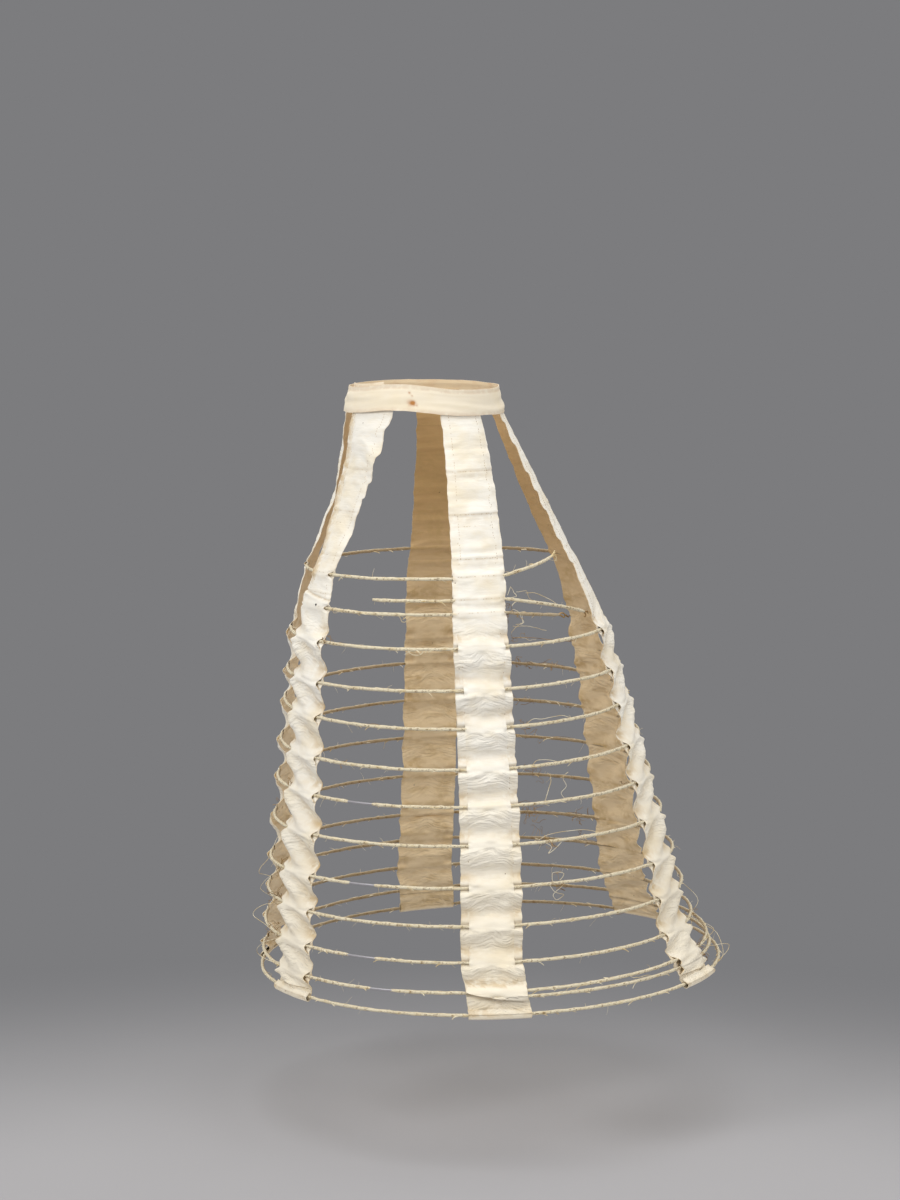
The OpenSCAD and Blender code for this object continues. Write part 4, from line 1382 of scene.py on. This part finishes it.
def trails(batch, rng):
    """Strands that lie along a hoop, lifted off it in the middle."""
    for i, start, end, rise in TRAILS:
        angles = np.linspace(start, end, 40)
        lift = rise * np.sin(np.linspace(0, math.pi, 40)) ** 0.7
        lift = lift * (0.6 + 0.4 * noise(angles / 4, 0.5, 200 + i))
        line = hoop_line(i, angles) + lift[:, None] * np.array([0, 0, 1.0])
        batch.rod(crinkled(line, rng, 0.5), rng.uniform(0.2, 0.3), 4)


def loose_threads():
    """Longer threads that hang in loops from the hoops."""
    rng = random.Random(23)
    batch = Batch()
    for loop in LOOPS:
        line = crinkled(through([thread_point(*at) for at in loop], 7), rng, 0.8)
        batch.rod(line, rng.uniform(0.2, 0.32), 5)
    batch.piece("loose_threads", FRAY_THREAD, "thread")


def thread_knots():
    """Fine tangled strands where the winding has come off, browner than the rest."""
    rng = random.Random(29)
    batch = Batch()
    for i, a, reach, strands in KNOTS:
        wide = degrees_of(reach, HOOP_DROP[i])
        for _ in range(strands):
            start = thread_point(i, a + rng.uniform(-wide, wide), rng.uniform(-1, 1), 1.0)
            away = toss(rng) * reach
            middle = start + away + np.array([0, 0, rng.uniform(-0.4, 0.7) * reach])
            end = start + toss(rng) * 0.9 * reach
            line = crinkled(through([start, middle, end], 10), rng, 0.28 * reach)
            batch.rod(line, rng.uniform(0.14, 0.26), 4)
    trails(batch, rng)
    batch.piece("thread_knots", BROWN_THREAD, "thread")


# Frayed ends of the broken hoops: hoop, then strands as steps along it, up and out from its tip. Then the
# strands' radius by hoop
TIPS = ((0, ((3, 1.5, 1), (7, 5, 2)), ((3, 0.5, 1), (7, 0, 2), (9, -4, 2), (7.5, -6.5, 2)),
         ((2, 1, 1), (5, 3, 2), (7, 2.5, 2))),
        (2, ((4, 2, 0), (8, 1, 0), (12, -2, 0), (17, -1, 0)),
         ((3, -1, 0), (7, -3, 0), (10, 0, 0), (14, -3, 0))),
        (1, ((2, -1, 0), (4, -3, 0), (3, -5.5, 0), (0.5, -5, 0)), ((2, 0, 1), (4, 1, 2), (6, -1, 2))))

TIP_R = (1.3, 0.95, 0.95)


def frayed_tips():
    """Strands at the free ends of the broken hoops, pale on the top one."""
    rng = random.Random(31)
    pale = Batch()
    dark = Batch()
    for i, *strands in TIPS:
        end = BACK_BREAK[i]
        inner, tip = hoop_line(i, np.array([end - 2.0, end]))
        ahead = (tip - inner) / np.linalg.norm(tip - inner)
        _, outward, up = hoop_axes(i, end)
        for strand in strands:
            steps = [tip - 2 * ahead] + [tip + s * ahead + r * up + o * outward for s, r, o in strand]
            line = crinkled(through(steps, 7), rng, 0.3)
            (pale if i == 0 else dark).rod(line, np.linspace(TIP_R[i], 0.5 * TIP_R[i], len(line)), 6)
    pale.piece("frayed_tips_pale", FRAY_THREAD, "thread")
    dark.piece("frayed_tips_brown", BROWN_THREAD, "thread")


loose_threads()
thread_knots()
frayed_tips()


def bare_steel():
    """The stretches of four hoops that have lost their winding."""
    batch = Batch()
    for i, (start, end) in BARE.items():
        angles = np.linspace(start - 0.4, end + 0.4, 24)
        batch.rod(hoop_line(i, angles), STEEL_R, HOOP_SIDES)
    batch.piece("bare_steel", STEEL, "wire")


bare_steel()

# Looks of the wire and the fastening
for node_name, node_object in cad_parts.items():
    if node_name.endswith("_wire") or node_name in ("waist_hook", "waist_eye"):
        node_object.data.materials.clear()
        node_object.data.materials.append(STEEL if node_name.endswith("_wire") else RUSTED)


# Studio
FLOOR_Z = -0.795
FLOOR_R = 30.0
AIM = Vector((0.0, 0.03, -0.35))
POOL_AT = (0.89, -0.14, FLOOR_Z)
POOL_R = (0.72, 1.6)
WORLD_LIGHT = srgb(186, 184, 180)
WORLD_SEEN = srgb(124, 124, 126)
FLOOR_TONES = (srgb(172, 171, 174), srgb(176, 175, 178))
# Lamps: name, place and size in metres, and watts
LAMPS = (("key", (1.7, -2.7, 1.9), 1.6, 58), ("fill", (2.8, 2.0, 1.0), 1.8, 32),
         ("top", (0.2, 0.1, 2.4), 2.0, 30))


def seen_rays(tree):
    """1 on rays that show a surface to the camera, straight or through gloss or glass, else 0."""
    path = add(tree, "ShaderNodeLightPath").outputs
    seen = calc(tree, "MAXIMUM", path["Is Camera Ray"], path["Is Glossy Ray"])
    return calc(tree, "MAXIMUM", seen, path["Is Transmission Ray"])


def studio_floor():
    """A pale floor that fades into the plain grey of the world all round."""
    made, tree, shader = start_material("studio_floor")
    place = add(tree, "ShaderNodeTexCoord").outputs["Object"]
    tone = ramp(tree, clouds(tree, place, 1.5, 3), 0.3, 0.7)
    fill(tree, shader, {"Base Color": mix(tree, tone, *FLOOR_TONES), "Roughness": 0.9,
                        "Specular IOR Level": 0.1})
    away = add(tree, "ShaderNodeVectorMath", {0: place, 1: POOL_AT}, operation="DISTANCE").outputs["Value"]
    faded = times(tree, ramp(tree, away, *POOL_R), seen_rays(tree))
    grey = add(tree, "ShaderNodeEmission", {"Color": WORLD_SEEN}).outputs[0]
    shown = add(tree, "ShaderNodeMixShader", {0: faded, 1: shader.outputs[0], 2: grey}).outputs[0]
    tree.links.new(shown, tree.nodes["Material Output"].inputs["Surface"])
    mesh = bpy.data.meshes.new("floor")
    turn = np.linspace(0, math.tau, 65)[:-1]
    mesh.from_pydata([(FLOOR_R * math.cos(t), FLOOR_R * math.sin(t), FLOOR_Z) for t in turn], [],
                     [list(range(64))])
    mesh.materials.append(made)
    floor = put("floor", mesh)


def lamp(name, place, size, watts):
    data = bpy.data.lights.new(name, "AREA")
    data.shape = "SQUARE"
    data.size = size
    data.energy = watts
    made = put(name, data)
    made.location = place
    made.rotation_euler = (AIM - Vector(place)).to_track_quat("-Z", "Y").to_euler()


def world_light():
    world = bpy.data.worlds.new("studio")
    bpy.context.scene.world = world
    world.use_nodes = True
    tree = world.node_tree
    shown = mix(tree, seen_rays(tree), WORLD_LIGHT, WORLD_SEEN)
    tree.links.new(shown, tree.nodes["Background"].inputs["Color"])


def camera():
    """The camera, placed and aimed as the photograph shows the cage."""
    turn = math.radians(CAM_TURN)
    yaw = math.radians(CAM_YAW)
    pitch = math.radians(CAM_PITCH)
    ahead = Vector((-math.cos(turn), math.sin(turn), 0))
    right = Vector((math.sin(turn), math.cos(turn), 0))
    level = ahead * math.cos(yaw) + right * math.sin(yaw)
    look = level * math.cos(pitch) - Vector((0, 0, math.sin(pitch)))
    data = bpy.data.cameras.new("camera")
    data.sensor_fit = "VERTICAL"
    data.sensor_height = SENSOR_H
    data.lens = FOCAL_PX / FRAME_H * SENSOR_H
    made = put("camera", data)
    made.location = Vector((0, 0, CAM_HEIGHT)) - ahead * CAM_DISTANCE
    made.rotation_euler = look.to_track_quat("-Z", "Y").to_euler()
    bpy.context.scene.camera = made


studio_floor()
for values in LAMPS:
    lamp(*values)
world_light()
camera()
bpy.context.scene.view_settings.view_transform = "Standard"
